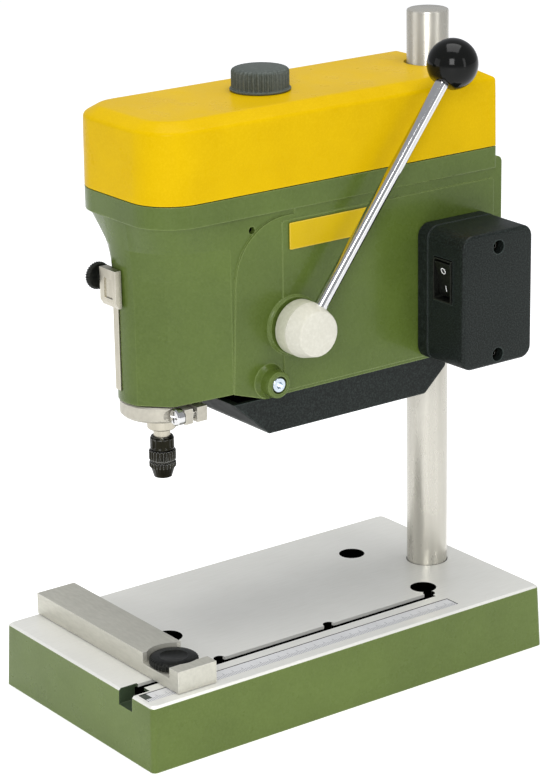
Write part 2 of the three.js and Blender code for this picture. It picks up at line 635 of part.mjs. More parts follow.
function motorSpacer(x) {
  const outer = rod('z', 3.6, [MOTOR.top + GAP, BRIDGE.bottom - GAP], [x, 0], 12);
  return cut(outer, rod('z', 2.3, [MOTOR.top - 2, BRIDGE.bottom + 2], [x, 0], 12));
}

function motorScrew(x) {
  const size = { head: 3.4, headHeight: 2.4, shank: 1.9, length: 14, socket: 1.5 };
  return screw('z', size, BRIDGE.top + GAP + size.headHeight, [x, 0], 12);
}

// ---------------------------------------------------------------- quill, spindle and chuck
function quill() {
  const { radius, bore, bottom, top } = QUILL;
  const tube = rod('z', radius, [bottom, top], [0, 0], 32);
  const flat = block([-6, 6], [radius - 1.6, radius + 2], [bottom - 1, top + 1]);
  return cut(tube, rod('z', bore, [bottom - 1, top + 1], [0, 0], 20), flat,
    rod('z', BEARING.outer + GAP, [bottom - 1, bottom + BEARING.height + 2 * GAP], [0, 0], 20),
    rod('z', BEARING.outer + GAP, [top - BEARING.height - 2 * GAP, top + 1], [0, 0], 20));
}

function bearingRing(bottom) {
  const { outer, inner, height } = BEARING;
  const bore = rod('z', inner + GAP, [bottom - 1, bottom + height + 1], [0, 0], 16);
  return cut(rod('z', outer, [bottom, bottom + height], [0, 0], 20), bore);
}

function feedRack() {
  const back = QUILL.radius - 1.3;
  const tips = FEED.y - FEED.radius - SPINDLE_Y - 0.15;
  const root = tips - 1.8;
  const [bottom, top] = [171, 211.2];
  const shape = [[back, bottom]];
  for (let z = bottom; z < top - 3.2; z += FEED.toothPitch) {
    shape.push([root, z + 0.2], [tips, z + 1.2], [tips, z + 2.2], [root, z + 3.2]);
  }
  shape.push([root, top], [back, top]);
  return plate('x', outline(shape), [-3.4, 3.4]);
}

function spindle() {
  const { shank } = CHUCK;
  const top = SPINDLE_TOP_RADIUS;
  return turned('z', [[shank - 0.55, 117], [shank, 117.5], [shank, 128.2], [6.4, 131.4], [6.5, 135.9],
    [top, 135.9], [top, 265], [top - 0.6, 265.6]], [0, 0], 20);
}

function clampRing() {
  const { radius, bottom, top } = RING;
  const { x0, x1, y0, y1, slot0, slot1 } = EAR;
  const axis = [RING_SCREW.x, RING_SCREW.z];
  const profile = [[radius - 1.2, bottom], [radius, bottom + 1.2], [radius, top - 0.5], [radius - 0.5, top]];
  const ears = block([x0, x1], [y0, y1], [bottom + 0.3, top - 0.3]);
  return cut(join(turned('z', profile, [0, 0], 28), ears),
    rod('z', QUILL.radius + GAP, [bottom + 2.4, top + 1], [0, 0], 36),
    rod('z', 7.6, [bottom - 1, bottom + 3], [0, 0], 28),
    block([7, x1 + 1], [slot0, slot1], [bottom - 1, top + 1]),
    rod('y', RING_SCREW.radius + GAP, [y0 - 11, y0 + EAR.seat], axis, 20),
    rod('y', RING_SCREW.shank + GAP, [-20, 20], axis, 12));
}

// A screw with a cross slot, its head in front of the ears.
function ringScrew() {
  const { x, z, radius, shank } = RING_SCREW;
  const seat = EAR.y0 + EAR.seat - GAP;
  const front = seat - 3.6;
  const stem = rod('y', shank, [seat - 1, EAR.y1 + 0.8], [x, z], 12);
  const body = join(rod('y', radius, [front, seat], [x, z], 20), stem);
  const slots = [[2.5, 0.5], [0.5, 2.5]].map(([a, b]) =>
    block([x - a, x + a], [front - 1, front + 1.2], [z - b, z + b]));
  return cut(body, ...slots);
}

function chuckBody() {
  const { nutTop, bodyTop, shank } = CHUCK;
  const bottom = nutTop + GAP;
  const sleeve = [[4.9, bottom], [5.3, bottom + 0.4], [5.3, bodyTop - 0.4], [4.9, bodyTop]];
  const body = turned('z', sleeve, [0, 0], 20);
  return cut(body, rod('z', shank + GAP, [bottom - 1, bodyTop + 1], [0, 0], 24));
}

function chuckNut() {
  const { shank, bore, nose, nutTop } = CHUCK;
  const body = turned('z', [[3.9, nose], [5.2, nose + 4.3], [5.95, nose + 4.9], [5.95, nose + 7.8],
    [5.7, nose + 8.1], [5.95, nose + 8.4], [5.95, nutTop - 0.5], [5.6, nutTop]], [0, 0], 20);
  return cut(body, rod('z', shank + GAP, [115, nutTop + 1], [0, 0], 24),
    rod('z', bore, [nose - 1, 116], [0, 0], 20));
}

function collet() {
  const bottom = CHUCK.nose + 0.2;
  const slots = [[0, 4], [-4, 0]].flatMap((half) => [
    block([-0.25, 0.25], half, [bottom - 2, bottom + 5]),
    block(half, [-0.25, 0.25], [bottom - 2, bottom + 5]),
  ]);
  return cut(rod('z', CHUCK.bore - GAP, [bottom, 114.6], [0, 0], 20),
    rod('z', 1.2, [bottom - 5, 120], [0, 0], 12), ...slots);
}

// ---------------------------------------------------------------- feed
function feedShaft() {
  const groove = { x: -36.6, width: 1.2 };
  const { radius, left, right } = FEED_SHAFT;
  const ring = rod('x', radius + 1, [groove.x, groove.x + groove.width]);
  return cut(rod('x', radius, [left, right]), cut(ring, rod('x', radius - 1, [left - 1, 0])));
}

function retainingRing() {
  const ring = cut(rod('x', 6.8, [-36.3, -35.7]), rod('x', FEED_SHAFT.radius - 0.6, [-40, 0]));
  return cut(ring, block([-40, -30], [-9, 0], [-1.8, 1.8]));
}

function shaftBush([from, to]) {
  const { radius } = FEED_SHAFT;
  return cut(rod('x', radius + 1, [from, to]), rod('x', radius + GAP, [from - 1, to + 1]));
}

function feedSector() {
  const tips = FEED.radius - 0.15;
  const pitch = FEED.toothPitch / FEED.radius;
  const [from, to] = [108, 190].map(THREE.MathUtils.degToRad);
  const points = [new THREE.Vector2(9, -2), new THREE.Vector2(7, 7), new THREE.Vector2(-2, 10)];
  const arm = (radius, angle) => new THREE.Vector2(radius * Math.cos(angle), radius * Math.sin(angle));
  for (let angle = from; angle + pitch <= to; angle += pitch) {
    points.push(arm(tips - 1.8, angle + pitch * 0.05), arm(tips, angle + pitch * 0.3));
    points.push(arm(tips, angle + pitch * 0.55), arm(tips - 1.8, angle + pitch * 0.8));
  }
  points.push(new THREE.Vector2(-4, -10), new THREE.Vector2(6, -8));
  return cut(plate('x', new THREE.Shape(points), [-4, 4]), rod('x', FEED_SHAFT.radius + GAP, [-5, 5]));
}

function returnSpring() {
  const coils = 2.25;
  const thickness = 0.9;
  const steps = 36;
  const edge = (offset) => Array.from({ length: steps + 1 }, (unused, i) => {
    const angle = i / steps * coils * 2 * Math.PI;
    const radius = 7 + i / steps * 7 + offset;
    return new THREE.Vector2(radius * Math.cos(angle), radius * Math.sin(angle));
  });
  return plate('x', new THREE.Shape([...edge(thickness), ...edge(0).reverse()]), [-24, -17]);
}

function feedHub() {
  const { back, shoulder, front, radius, faceRadius } = HUB;
  const body = turned('x', [[radius - 0.4, back], [radius, back + 0.4], [radius, shoulder - 0.3],
    [radius - 0.3, shoulder], [radius - 0.6, shoulder + 0.3], [faceRadius + 0.8, front - 0.8],
    [faceRadius, front]], [0, 0], 28);
  const bore = rod('x', FEED_SHAFT.radius + GAP, [back - 1, FEED_SHAFT.right + GAP]);
  return cut(body, bore, leverSocket());
}

// The lever's own length lies along its group's Z, so its socket is turned with it.
function leverSocket() {
  const geometry = new THREE.CylinderGeometry(LEVER.radius + GAP, LEVER.radius + GAP, 20, 20);
  geometry.rotateX(Math.PI / 2);
  geometry.translate(0, 0, LEVER.root - GAP + 10);
  geometry.rotateX(THREE.MathUtils.degToRad(LEVER.restAngle - 90));
  geometry.translate(LEVER.x, 0, 0);
  return toSolid(geometry);
}

function leverRod() {
  const { radius, root } = LEVER;
  const shoulder = BALL.centre - BALL.flat - GAP;
  return turned('z', [[radius - 0.4, root], [radius, root + 0.4], [radius, shoulder],
    [radius - 0.6, shoulder], [radius - 0.6, BALL.centre - 2]], [0, 0], 20);
}

function leverBall() {
  const { centre, radius, flat } = BALL;
  const start = -Math.asin(flat / radius);
  const profile = Array.from({ length: 10 }, (unused, i) => {
    const angle = THREE.MathUtils.lerp(start, Math.PI / 2, i / 10);
    return [radius * Math.cos(angle), centre + radius * Math.sin(angle)];
  });
  const socket = rod('z', LEVER.radius - 0.6 + GAP, [centre - 20, centre - 1.5], [0, 0], 16);
  return cut(turned('z', [...profile, [0.4, centre + radius]], [0, 0], 24), socket);
}

// ---------------------------------------------------------------- depth stop
const depthRail = () => block(RAIL.x, RAIL.y, RAIL.z);

// A plate in front of the rail with a jaw on the rail's left and a shallow window in its face.
function depthStopBlock() {
  const { left, right, front, back, jaw, bottom, top } = STOP;
  const [railLeft] = RAIL.x;
  const side = outline([[front, bottom + 2.5], [front + 1.5, bottom], [jaw, bottom], [jaw, top],
    [front, top]]);
  return cut(plate('x', side, [left, right]),
    block([railLeft - GAP, right + 1], [back, jaw + 1], [bottom - 1, top + 1]),
    block([left + 3.2, right - 2.4], [front - 1, front + 0.6], [bottom + 4, top - 4]),
    rod('x', STOP_KNOB.stem + GAP, [left - 1, railLeft], [STOP_KNOB.y, STOP_KNOB.z], 12));
}

function depthStopScrew() {
  const { radius, width, stem, tip } = STOP_KNOB;
  return join(flutedDisc(radius, [0, width], 16, 0.5), rod('z', stem, [width - 0.4, tip], [0, 0], 12));
}

// ---------------------------------------------------------------- switch box
function boxOutline(inset) {
  return rectangle([BOX.y0 + inset, BOX.y1 - inset], [BOX.z0 + inset, BOX.z1 - inset], BOX.corner - inset);
}

const atBoxScrews = (radius, span, sides) => BOX_SCREWS.map((place) => rod('x', radius, span, place, sides));

function boxBack() {
  const { inner, split, outer } = BOX;
  const room = plate('x', boxOutline(2.2), [inner + 3, split + 1]);
  const shell = cut(plate('x', boxOutline(0), [inner, split]), room);
  return cut(join(shell, ...atBoxScrews(2.4, [inner + 1, outer - 12], 12)),
    ...atBoxScrews(1.5, [inner + 4, outer], 8));
}

function boxCover() {
  const { split, outer, wall, y0 } = BOX;
  const { x, z } = ROCKER;
  const start = split + GAP;
  const cap = plate('x', boxOutline(0.2), [start, outer], 1.2);
  const skirt = plate('x', boxOutline(0.2), [start, start + 2]);
  const room = plate('x', boxOutline(wall + 0.2), [start - 1, outer - wall]);
  const window = block([x - 6.3, x + 6.3], [y0 - 1, y0 + 4], [z - 10, z + 10]);
  return cut(join(cut(join(cap, skirt), room), ...atBoxScrews(4.4, [outer - 8, outer - 1.5], 12)),
    ...atBoxScrews(3.1, [outer - 5.5, outer + 1], 16), ...atBoxScrews(1.6, [outer - 10, outer], 8),
    window, inletHole());
}

const inletHole = () => rod('y', 5, [BOX.y1 - 4, BOX.y1 + 2], [INLET.x, INLET.z], 16);

function boxScrew(place) {
  const size = { head: 2.6, headHeight: 2, shank: 1.2, length: 12, socket: 1.1 };
  return screw('x', size, BOX.outer - 3.2, place, 12);
}

function switchFrame() {
  const { x, z } = ROCKER;
  const [halfWidth, halfHeight] = [ROCKER.width / 2 + GAP, ROCKER.height / 2 + GAP];
  const bezel = block([x - 6, x + 6], [BOX.y0 - 0.6, BOX.y0 + 1.4], [z - 9.7, z + 9.7]);
  const bucket = block([x - 5.8, x + 5.8], [BOX.y0 + 1, BOX.y0 + 16], [z - 9.5, z + 9.5]);
  const well = block([x - halfWidth, x + halfWidth], [BOX.y0 - 2, BOX.y0 + 11],
    [z - halfHeight, z + halfHeight]);
  return cut(join(bezel, bucket), well);
}

// Its outline is given round the pivot, with the lower end pressed in.
function rocker() {
  const half = ROCKER.height / 2 - 0.7;
  const shape = outline([[1.2, -half], [-0.2, 0], [-2.2, half], [1.5, half], [7, 3], [7, -3], [3, -half]]);
  return plate('x', shape, [-ROCKER.width / 2, ROCKER.width / 2]);
}

function cableInlet() {
  const { x, z, bore } = INLET;
  const { y1 } = BOX;
  const bush = turned('y', [[6.8, y1 + GAP], [6.8, y1 + 3], [5.4, y1 + 7]], [x, z], 20);
  const neck = rod('y', 4.6, [y1 - 4, y1 + 1], [x, z], 16);
  return cut(join(bush, neck), rod('y', bore, [y1 - 6, y1 + 9], [x, z], 14));
}

function nameplate() {
  const face = HEAD.halfWidth + 0.8;
  return plate('x', rectangle([-15.6, 27.2], [208.8, 220.6], 0.6, 2), [face, face + 0.5]);
}

// ---------------------------------------------------------------- assembly
function baseAssembly() {
  return group([0, 0, 0],
    part('base_casting', baseCasting(), PAINT_GREEN),
    part('scale_strip', scaleStrip(), ALUMINIUM),
    part('column_set_screw', columnSetScrew(), DARK_STEEL),
    group([0, COLUMN.y, 0], part('column', column(), BRIGHT_STEEL)),
    part('fence_bar', fenceBar(), ALUMINIUM),
    group([SLOT.x, CLAMP.y, 0],
      part('fence_tee_bolt', fenceTeeBolt(), DARK_STEEL),
      part('fence_clamp_knob', fenceKnob(), BLACK_PLASTIC)));
}

function driveAssembly() {
  const screws = motorScrewPlaces().flatMap(([x], i) => {
    const side = ['left', 'right'][i];
    return [
      part(`motor_spacer_${side}`, motorSpacer(x), ALUMINIUM),
      part(`motor_screw_${side}`, motorScrew(x), DARK_STEEL),
    ];
  });
  return group([0, 0, 0],
    part('motor_bridge', motorBridge(), GROUND_STEEL),
    part('drive_belt', driveBelt(), RUBBER),
    group([0, MOTOR_Y, 0],
      part('motor_body', motorBody(), DARK_STEEL),
      part('motor_shaft', motorShaft(), BRIGHT_STEEL),
      part('motor_pulley', motorPulley(), ALUMINIUM),
      ...screws),
    group([0, SPINDLE_Y, 0],
      part('spindle_pulley', spindlePulley(), ALUMINIUM),
      part('pulley_bearing', pulleyBearing(), GROUND_STEEL)));
}

function quillAssembly() {
  return group([0, SPINDLE_Y, 0],
    part('quill', quill(), GROUND_STEEL),
    part('feed_rack', feedRack(), DARK_STEEL),
    part('quill_bearing_lower', bearingRing(QUILL.bottom + GAP), GROUND_STEEL),
    part('quill_bearing_upper', bearingRing(QUILL.top - BEARING.height - GAP), GROUND_STEEL),
    part('quill_clamp_ring', clampRing(), ALUMINIUM),
    part('ring_clamp_screw', ringScrew(), BRIGHT_STEEL),
    part('spindle', spindle(), BRIGHT_STEEL),
    part('chuck_body', chuckBody(), DARK_STEEL),
    part('chuck_nut', chuckNut(), DARK_STEEL),
    part('collet', collet(), BRIGHT_STEEL));
}

function feedAssembly() {
  const lever = group([LEVER.x, 0, 0],
    part('lever_rod', leverRod(), BRIGHT_STEEL),
    part('lever_ball', leverBall(), GLOSS_BLACK));
  lever.rotation.x = THREE.MathUtils.degToRad(LEVER.restAngle - 90);
  return group([0, FEED.y, FEED.z],
    part('feed_shaft', feedShaft(), BRIGHT_STEEL),
    part('feed_shaft_bush_left', shaftBush([-34.4, -30.6]), BRASS),
    part('feed_shaft_bush_right', shaftBush([30.6, 35.8]), BRASS),
    part('feed_shaft_ring', retainingRing(), DARK_STEEL),
    part('feed_sector', feedSector(), DARK_STEEL),
    part('return_spring', returnSpring(), GROUND_STEEL),
    part('feed_hub', feedHub(), LIGHT_COAT),
    lever);
}

function depthStopAssembly() {
  const thumbscrew = group([STOP_KNOB.x, STOP_KNOB.y, STOP_KNOB.z],
    part('depth_stop_thumbscrew', depthStopScrew(), BLACK_PLASTIC));
  thumbscrew.rotation.y = Math.PI / 2;
  return group([0, 0, 0],
    part('depth_stop_rail', depthRail(), BRIGHT_STEEL),
    part('depth_stop_block', depthStopBlock(), ALUMINIUM),
    thumbscrew);
}

function switchAssembly() {
  const [lower, upper] = BOX_SCREWS;
  return group([0, 0, 0],
    part('switch_box_back', boxBack(), BLACK_PLASTIC),
    part('switch_box_cover', boxCover(), BLACK_PLASTIC),
    part('switch_box_screw_lower', boxScrew(lower), DARK_STEEL),
    part('switch_box_screw_upper', boxScrew(upper), DARK_STEEL),
    part('switch_frame', switchFrame(), BLACK_PLASTIC),
    part('cable_inlet', cableInlet(), BLACK_PLASTIC),
    group([ROCKER.x, BOX.y0 + 1.6, ROCKER.z], part('power_rocker', rocker(), BLACK_PLASTIC)));
}

function headAssembly() {
  return group([0, 0, 0],
    part('head_casting', headCasting(), PAINT_GREEN),
    part('belt_cover', beltCover(), COVER_YELLOW),
    part('motor_tray', motorTray(), BLACK_PLASTIC),
    part('tray_screw', trayScrew(), BRIGHT_STEEL),
    part('nameplate', nameplate(), LABEL),
    part('head_clamp_screw', headClampScrew(), DARK_STEEL),
    part('head_clamp_nut', headClampNut(), DARK_STEEL),
    group([0, COVER_KNOB.y, 0],
      part('cover_knob', coverKnob(), GREY_PLASTIC),
      part('cover_stud', coverStud(), GROUND_STEEL)),
    driveAssembly(),
    quillAssembly(),
    feedAssembly(),
    depthStopAssembly(),
    switchAssembly());
}

const drillPress = group([0, 0, 0], baseAssembly(), headAssembly());
drillPress.name = 'drill_press';

export default drillPress;
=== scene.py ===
"""Looks of the small bench drill press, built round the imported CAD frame.

Shapes are worked out in millimetres and turned to metres as each mesh is made.
+X is the operator's right, +Y points back to the column and +Z up.
"""
import json
import math

import bmesh
import bpy
from mathutils import Matrix, Vector


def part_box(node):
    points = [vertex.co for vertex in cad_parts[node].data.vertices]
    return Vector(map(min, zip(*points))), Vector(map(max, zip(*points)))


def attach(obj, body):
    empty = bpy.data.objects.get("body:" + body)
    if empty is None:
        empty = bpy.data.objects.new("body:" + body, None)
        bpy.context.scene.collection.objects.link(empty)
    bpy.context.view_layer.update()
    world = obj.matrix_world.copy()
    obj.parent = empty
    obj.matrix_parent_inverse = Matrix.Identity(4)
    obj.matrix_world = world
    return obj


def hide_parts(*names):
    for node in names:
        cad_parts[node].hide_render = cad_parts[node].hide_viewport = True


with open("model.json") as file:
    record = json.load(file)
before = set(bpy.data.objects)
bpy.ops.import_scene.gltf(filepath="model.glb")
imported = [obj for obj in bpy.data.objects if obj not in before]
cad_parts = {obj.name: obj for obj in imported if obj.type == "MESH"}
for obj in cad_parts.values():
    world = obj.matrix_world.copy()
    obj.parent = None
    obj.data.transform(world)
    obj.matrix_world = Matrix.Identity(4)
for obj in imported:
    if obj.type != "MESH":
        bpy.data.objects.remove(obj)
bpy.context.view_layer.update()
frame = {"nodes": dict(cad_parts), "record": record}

MM = 0.001
GAP = 0.3


# ---------------------------------------------------------------- the frame's sizes, in millimetres
def spans(node):
    """[(x0, x1), (y0, y1), (z0, z1)] of a CAD node in millimetres."""
    low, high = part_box(node)
    return [(low[i] / MM, high[i] / MM) for i in range(3)]


def centre(node):
    return [sum(span) / 2 for span in spans(node)]


BASE = spans("base_casting")
COLUMN = spans("column")
COLUMN_Y = centre("column")[1]
SPINDLE_Y = centre("spindle")[1]
HEAD = spans("head_casting")
COVER = spans("belt_cover")
TRAY = spans("motor_tray")
RING = spans("quill_clamp_ring")
FEED_Y, FEED_Z = centre("feed_shaft")[1:]
SLOT_X, CLAMP_Y = centre("fence_tee_bolt")[:2]

# ---------------------------------------------------------------- sizes of the finer shapes
# Pairs named ..._XS, ..._YS and ..._ZS are spans. A pair named ..._AT is a place seen along the
# piece's own axis, so it is (y, z) for an axis along X, (x, z) along Y and (x, y) along Z.
BASE_CORNER = 2.4
BASE_DRAFT = 1.1
TABLE_DROP = 0.9
TABLE_INSET = 2.1
SLOT_LIP = 1.5
SLOT_FLOOR = 22.8
SLOT_HALF = 2.4
SLOT_END = 62.5
UNDERCUT_HALF = 3.7
ENTRY_XS = (33.2, 43.4)
ENTRY_END = -99.8
NOTCH_RADIUS = 2.8
NOTCH_PLACES = (-56.5, 4, SLOT_END)
SCALE_BED_XS = (44.4, 52.6)
SCALE_BED_YS = (-106.4, 64.8)
SCALE_START = -100
DRILL_HOLE_RADIUS = 6.5
BENCH_HOLE_RADIUS = 6.1
BENCH_HOLE_X = 27
BENCH_HOLE_Y = 65
SET_SCREW_AT = (0, 15)

FENCE_SHELF = 5
FENCE_BITE_RADIUS = 12

HALF_BODY = 34.2
PANEL_PROUD = 0.5
PANEL_FRONT = -19
PANEL_REAR = 99.5
PANEL_TOP = 222
BODY_FRONT = -45.5
BODY_REAR = 104.5
NECK_RADIUS = 18.7
NECK_CORNER = 19.2
NECK_MIDDLE_Y = -38
FUNNEL_START = 187
FUNNEL_CORNER = 19
RIM_BOTTOM = 226.5
RIM_HALF = COVER[0][1]
RIM_NOSE = 20
RIM_TAIL = 1.5
WALL = 3.8
ARCH_XS = (16.5, 40)
ARCH_TOP = 149.5
LUG_XS = (1, 11)
LUG_REAR = 116
LUG_ZS = (164, 196)
CLAMP_SCREW_AT = (110, 180)
TRAY_SCREW_AT = (-27, 152)
SIDE_HOLE_AT = (-33.8, 220)
QUILL_BORE = 14.3
QUILL_BORE_TOP = 214
COLUMN_BORE = 10.4
RAIL_GROOVE = ((-5.9, -1.5), (-84, -76.9), (149.1, 203.3))

COVER_SHOULDER = 267.3
COVER_ROUND = 2.4
COVER_WALL = 2.4
KNOB_GRIP = 12.7
TRAY_WALL = 2.2
TRAY_FRONT = -45
TRAY_REAR = 73

HUB_SHOULDER = 45
HUB_RADIUS = 12.2
LEVER_ANGLE = math.radians(52.5)
LEVER_RADIUS = 3
BALL_REACH = 132
BALL_RADIUS = 11.3
BALL_FLAT = 9.5

RING_RADIUS = 18
RING_SCREW_AT = (19.5, 140)
CHUCK_BORE = 4.05
STOP_SCREW_AT = (-81, 198.5)

BOX_INNER = 35
BOX_SPLIT = 42
BOX_CORNER = 6
BOX_ROUND = 1.5
BOX_SCREWS = ((75.5, 151.2), (75.5, 200.5))
INLET = (centre("cable_inlet")[0], centre("cable_inlet")[2])
ROCKER_PIVOT_Y = 56.6
ROCKER_HALF = 8.1


# ---------------------------------------------------------------- outlines and solids
def filleted(corners, steps=8):
    """Points of a closed outline through (u, v) or (u, v, radius) corners."""
    points = []
    for i, corner in enumerate(corners):
        at = Vector(corner[:2])
        radius = corner[2] if len(corner) > 2 else 0
        if radius == 0:
            points.append(at)
            continue
        back = (Vector(corners[i - 1][:2]) - at).normalized()
        ahead = (Vector(corners[(i + 1) % len(corners)][:2]) - at).normalized()
        half = back.angle(ahead) / 2
        middle = at + (back + ahead).normalized() * (radius / math.sin(half))
        reach = radius / math.tan(half)
        first = at + back * reach - middle
        last = at + ahead * reach - middle
        start = math.atan2(first.y, first.x)
        turn = (math.atan2(last.y, last.x) - start + math.pi) % (2 * math.pi) - math.pi
        for step in range(steps + 1):
            angle = start + turn * step / steps
            points.append(middle + Vector((math.cos(angle), math.sin(angle))) * radius)
    return points


def rectangle(us, vs, radius=0, steps=8):
    return filleted([(us[0], vs[0], radius), (us[1], vs[0], radius),
                     (us[1], vs[1], radius), (us[0], vs[1], radius)], steps)


def circle(radius, at=(0, 0), sides=64):
    angles = [2 * math.pi * i / sides for i in range(sides)]
    return [Vector((at[0] + radius * math.cos(a), at[1] + radius * math.sin(a))) for a in angles]


TURN = {
    "x": Matrix(((0, 0, 1, 0), (1, 0, 0, 0), (0, 1, 0, 0), (0, 0, 0, 1))),
    "y": Matrix(((1, 0, 0, 0), (0, 0, -1, 0), (0, 1, 0, 0), (0, 0, 0, 1))),
    "z": Matrix.Identity(4),
}


def to_object(bm, matrix=Matrix.Identity(4)):
    """A scene object from a mesh in millimetres, moved by a matrix, facing outwards."""
    bmesh.ops.transform(bm, matrix=Matrix.Scale(MM, 4) @ matrix, verts=bm.verts)
    bmesh.ops.recalc_face_normals(bm, faces=bm.faces)
    mesh = bpy.data.meshes.new("shape")
    bm.to_mesh(mesh)
    bm.free()
    made = bpy.data.objects.new("shape", mesh)
    bpy.context.scene.collection.objects.link(made)
    return made


def loft(rings, matrix=Matrix.Identity(4)):
    """A closed solid through rings of 3D points, each ring with the same number of points."""
    bm = bmesh.new()
    rows = [[bm.verts.new(point) for point in ring] for ring in rings]
    count = len(rows[0])
    for low, high in zip(rows, rows[1:]):
        for i in range(count):
            j = (i + 1) % count
            bm.faces.new((low[i], low[j], high[j], high[i]))
    bm.faces.new(list(reversed(rows[0])))
    bm.faces.new(rows[-1])
    return to_object(bm, matrix)


def stack(levels, axis="z"):
    """A solid through [outline, height] levels, its height along the axis. Along x an outline's
    own u and v are Y and Z, and along y they are X and Z, with the height running to -Y."""
    rings = [[(p[0], p[1], height) for p in outline] for outline, height in levels]
    return loft(rings, TURN[axis])


def plate(axis, outline, span):
    low, high = (-span[1], -span[0]) if axis == "y" else span
    return stack([[outline, low], [outline, high]], axis)


def block(xs, ys, zs):
    return plate("z", rectangle(xs, ys), zs)


def rod(axis, radius, span, at=(0, 0), sides=64):
    return plate(axis, circle(radius, at, sides), span)


def turned(axis, profile, at=(0, 0), sides=72, ribs=0):
    """A turned piece from (radius, height) or (radius, height, rib depth) points, low to high.
    Its ribs run along the axis."""
    rings = []
    for point in profile:
        radius, height = point[:2]
        depth = point[2] if len(point) > 2 else 0
        ring = []
        for i in range(sides):
            angle = 2 * math.pi * i / sides
            reach = radius - depth * (0.5 - 0.5 * math.cos(ribs * angle))
            place = height if axis != "y" else -height
            across, up = reach * math.cos(angle), reach * math.sin(angle)
            ring.append((at[0] + across, at[1] + up, place))
        rings.append(ring)
    return loft(rings, TURN[axis])


def apply_modifiers(target):
    graph = bpy.context.evaluated_depsgraph_get()
    mesh = bpy.data.meshes.new_from_object(target.evaluated_get(graph))
    target.modifiers.clear()
    target.data = mesh
    return target


def combine(operation, target, tools):
    for tool in tools:
        modifier = target.modifiers.new(operation.lower(), "BOOLEAN")
        modifier.operation = operation
        modifier.solver = "EXACT"
        modifier.object = tool
    apply_modifiers(target)
    for tool in tools:
        bpy.data.objects.remove(tool)
    return target


def join(target, *tools):
    return combine("UNION", target, tools)


def cut(target, *tools):
    return combine("DIFFERENCE", target, tools)


def soften(target, width, segments=3, angle=32):
    """Rounds every edge sharper than the angle, in millimetres and degrees."""
    bevel = target.modifiers.new("round", "BEVEL")
    bevel.width = width * MM
    bevel.segments = segments
    bevel.limit_method = "ANGLE"
    bevel.angle_limit = math.radians(angle)
    bevel.harden_normals = True
    bevel.miter_outer = "MITER_ARC"
    return target


def piece(name, target, body, nodes, slot, *materials, smooth_angle=35):
    """Names a finished shape, gives it its materials and lets it stand for CAD nodes."""
    target.name = name
    target.data.name = name
    target.data.materials.clear()
    for material in materials:
        target.data.materials.append(material)
    target.data.shade_smooth()
    target.data.set_sharp_from_angle(angle=math.radians(smooth_angle))
    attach(target, body)
    if nodes:
        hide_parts(*nodes)
    return target


# ---------------------------------------------------------------- materials
def srgb(red, green, blue):
    """Linear colour of an 8-bit screen colour."""
    def linear(value):
        share = value / 255
        return share / 12.92 if share <= 0.04045 else ((share + 0.055) / 1.055) ** 2.4
    return (linear(red), linear(green), linear(blue), 1)


class Finish:
    """Builds one material's nodes. Object coordinates are metres in the shared frame."""

    def __init__(self, name, **values):
        self.material = bpy.data.materials.new(name)
        self.material.use_nodes = True
        self.tree = self.material.node_tree
        self.surface = self.tree.nodes["Principled BSDF"]
        for socket, value in values.items():
            self.surface.inputs[socket.replace("_", " ")].default_value = value
        self.place = self.tree.nodes.new("ShaderNodeTexCoord").outputs["Object"]
        self.normal = None

    def add(self, kind, inputs=(), **settings):
        node = self.tree.nodes.new("ShaderNode" + kind)
        for key, value in settings.items():
            setattr(node, key, value)
        for socket, value in dict(inputs).items():
            self.feed(node.inputs[socket], value)
        return node

    def feed(self, socket, value):
        if isinstance(value, bpy.types.NodeSocket):
            self.tree.links.new(value, socket)
        else:
            socket.default_value = value

    def noise(self, scale, detail=3, stretch=(1, 1, 1), rough=0.55):
        mapped = self.add("Mapping", {"Vector": self.place, "Scale": stretch}).outputs[0]
        inputs = {"Vector": mapped, "Scale": scale, "Detail": detail, "Roughness": rough}
        return self.add("TexNoise", inputs).outputs["Fac"]

    def fit(self, value, low, high, to_low=0.0, to_high=1.0):
        inputs = {"Value": value, "From Min": low, "From Max": high}
        inputs.update({"To Min": to_low, "To Max": to_high})
        return self.add("MapRange", inputs).outputs[0]

    def sum(self, operation, first, second=0.0):
        node = self.add("Math", operation=operation)
        self.feed(node.inputs[0], first)
        self.feed(node.inputs[1], second)
        return node.outputs[0]

    def blend(self, share, first, second):
        node = self.add("Mix", data_type="RGBA")
        self.feed(node.inputs["Factor"], share)
        self.feed(node.inputs[6], first)
        self.feed(node.inputs[7], second)
        return node.outputs[2]

    def edges(self, radius, low=0.02, high=0.3):
        """1 along convex and concave edges, 0 on open surface."""
        rounded = self.add("Bevel", {"Radius": radius * MM}, samples=4).outputs[0]
        true = self.add("NewGeometry").outputs["Normal"]
        facing = self.add("VectorMath", {0: rounded, 1: true}, operation="DOT_PRODUCT").outputs["Value"]
        return self.fit(self.sum("SUBTRACT", 1.0, facing), low, high)

    def bump(self, height, strength, distance):
        inputs = {"Height": height, "Strength": strength, "Distance": distance * MM}
        if self.normal is not None:
            inputs["Normal"] = self.normal
        self.normal = self.add("Bump", inputs).outputs[0]

    def finish(self, color, roughness):
        self.feed(self.surface.inputs["Base Color"], color)
        self.feed(self.surface.inputs["Roughness"], roughness)
        if self.normal is not None:
            self.feed(self.surface.inputs["Normal"], self.normal)
        return self.material


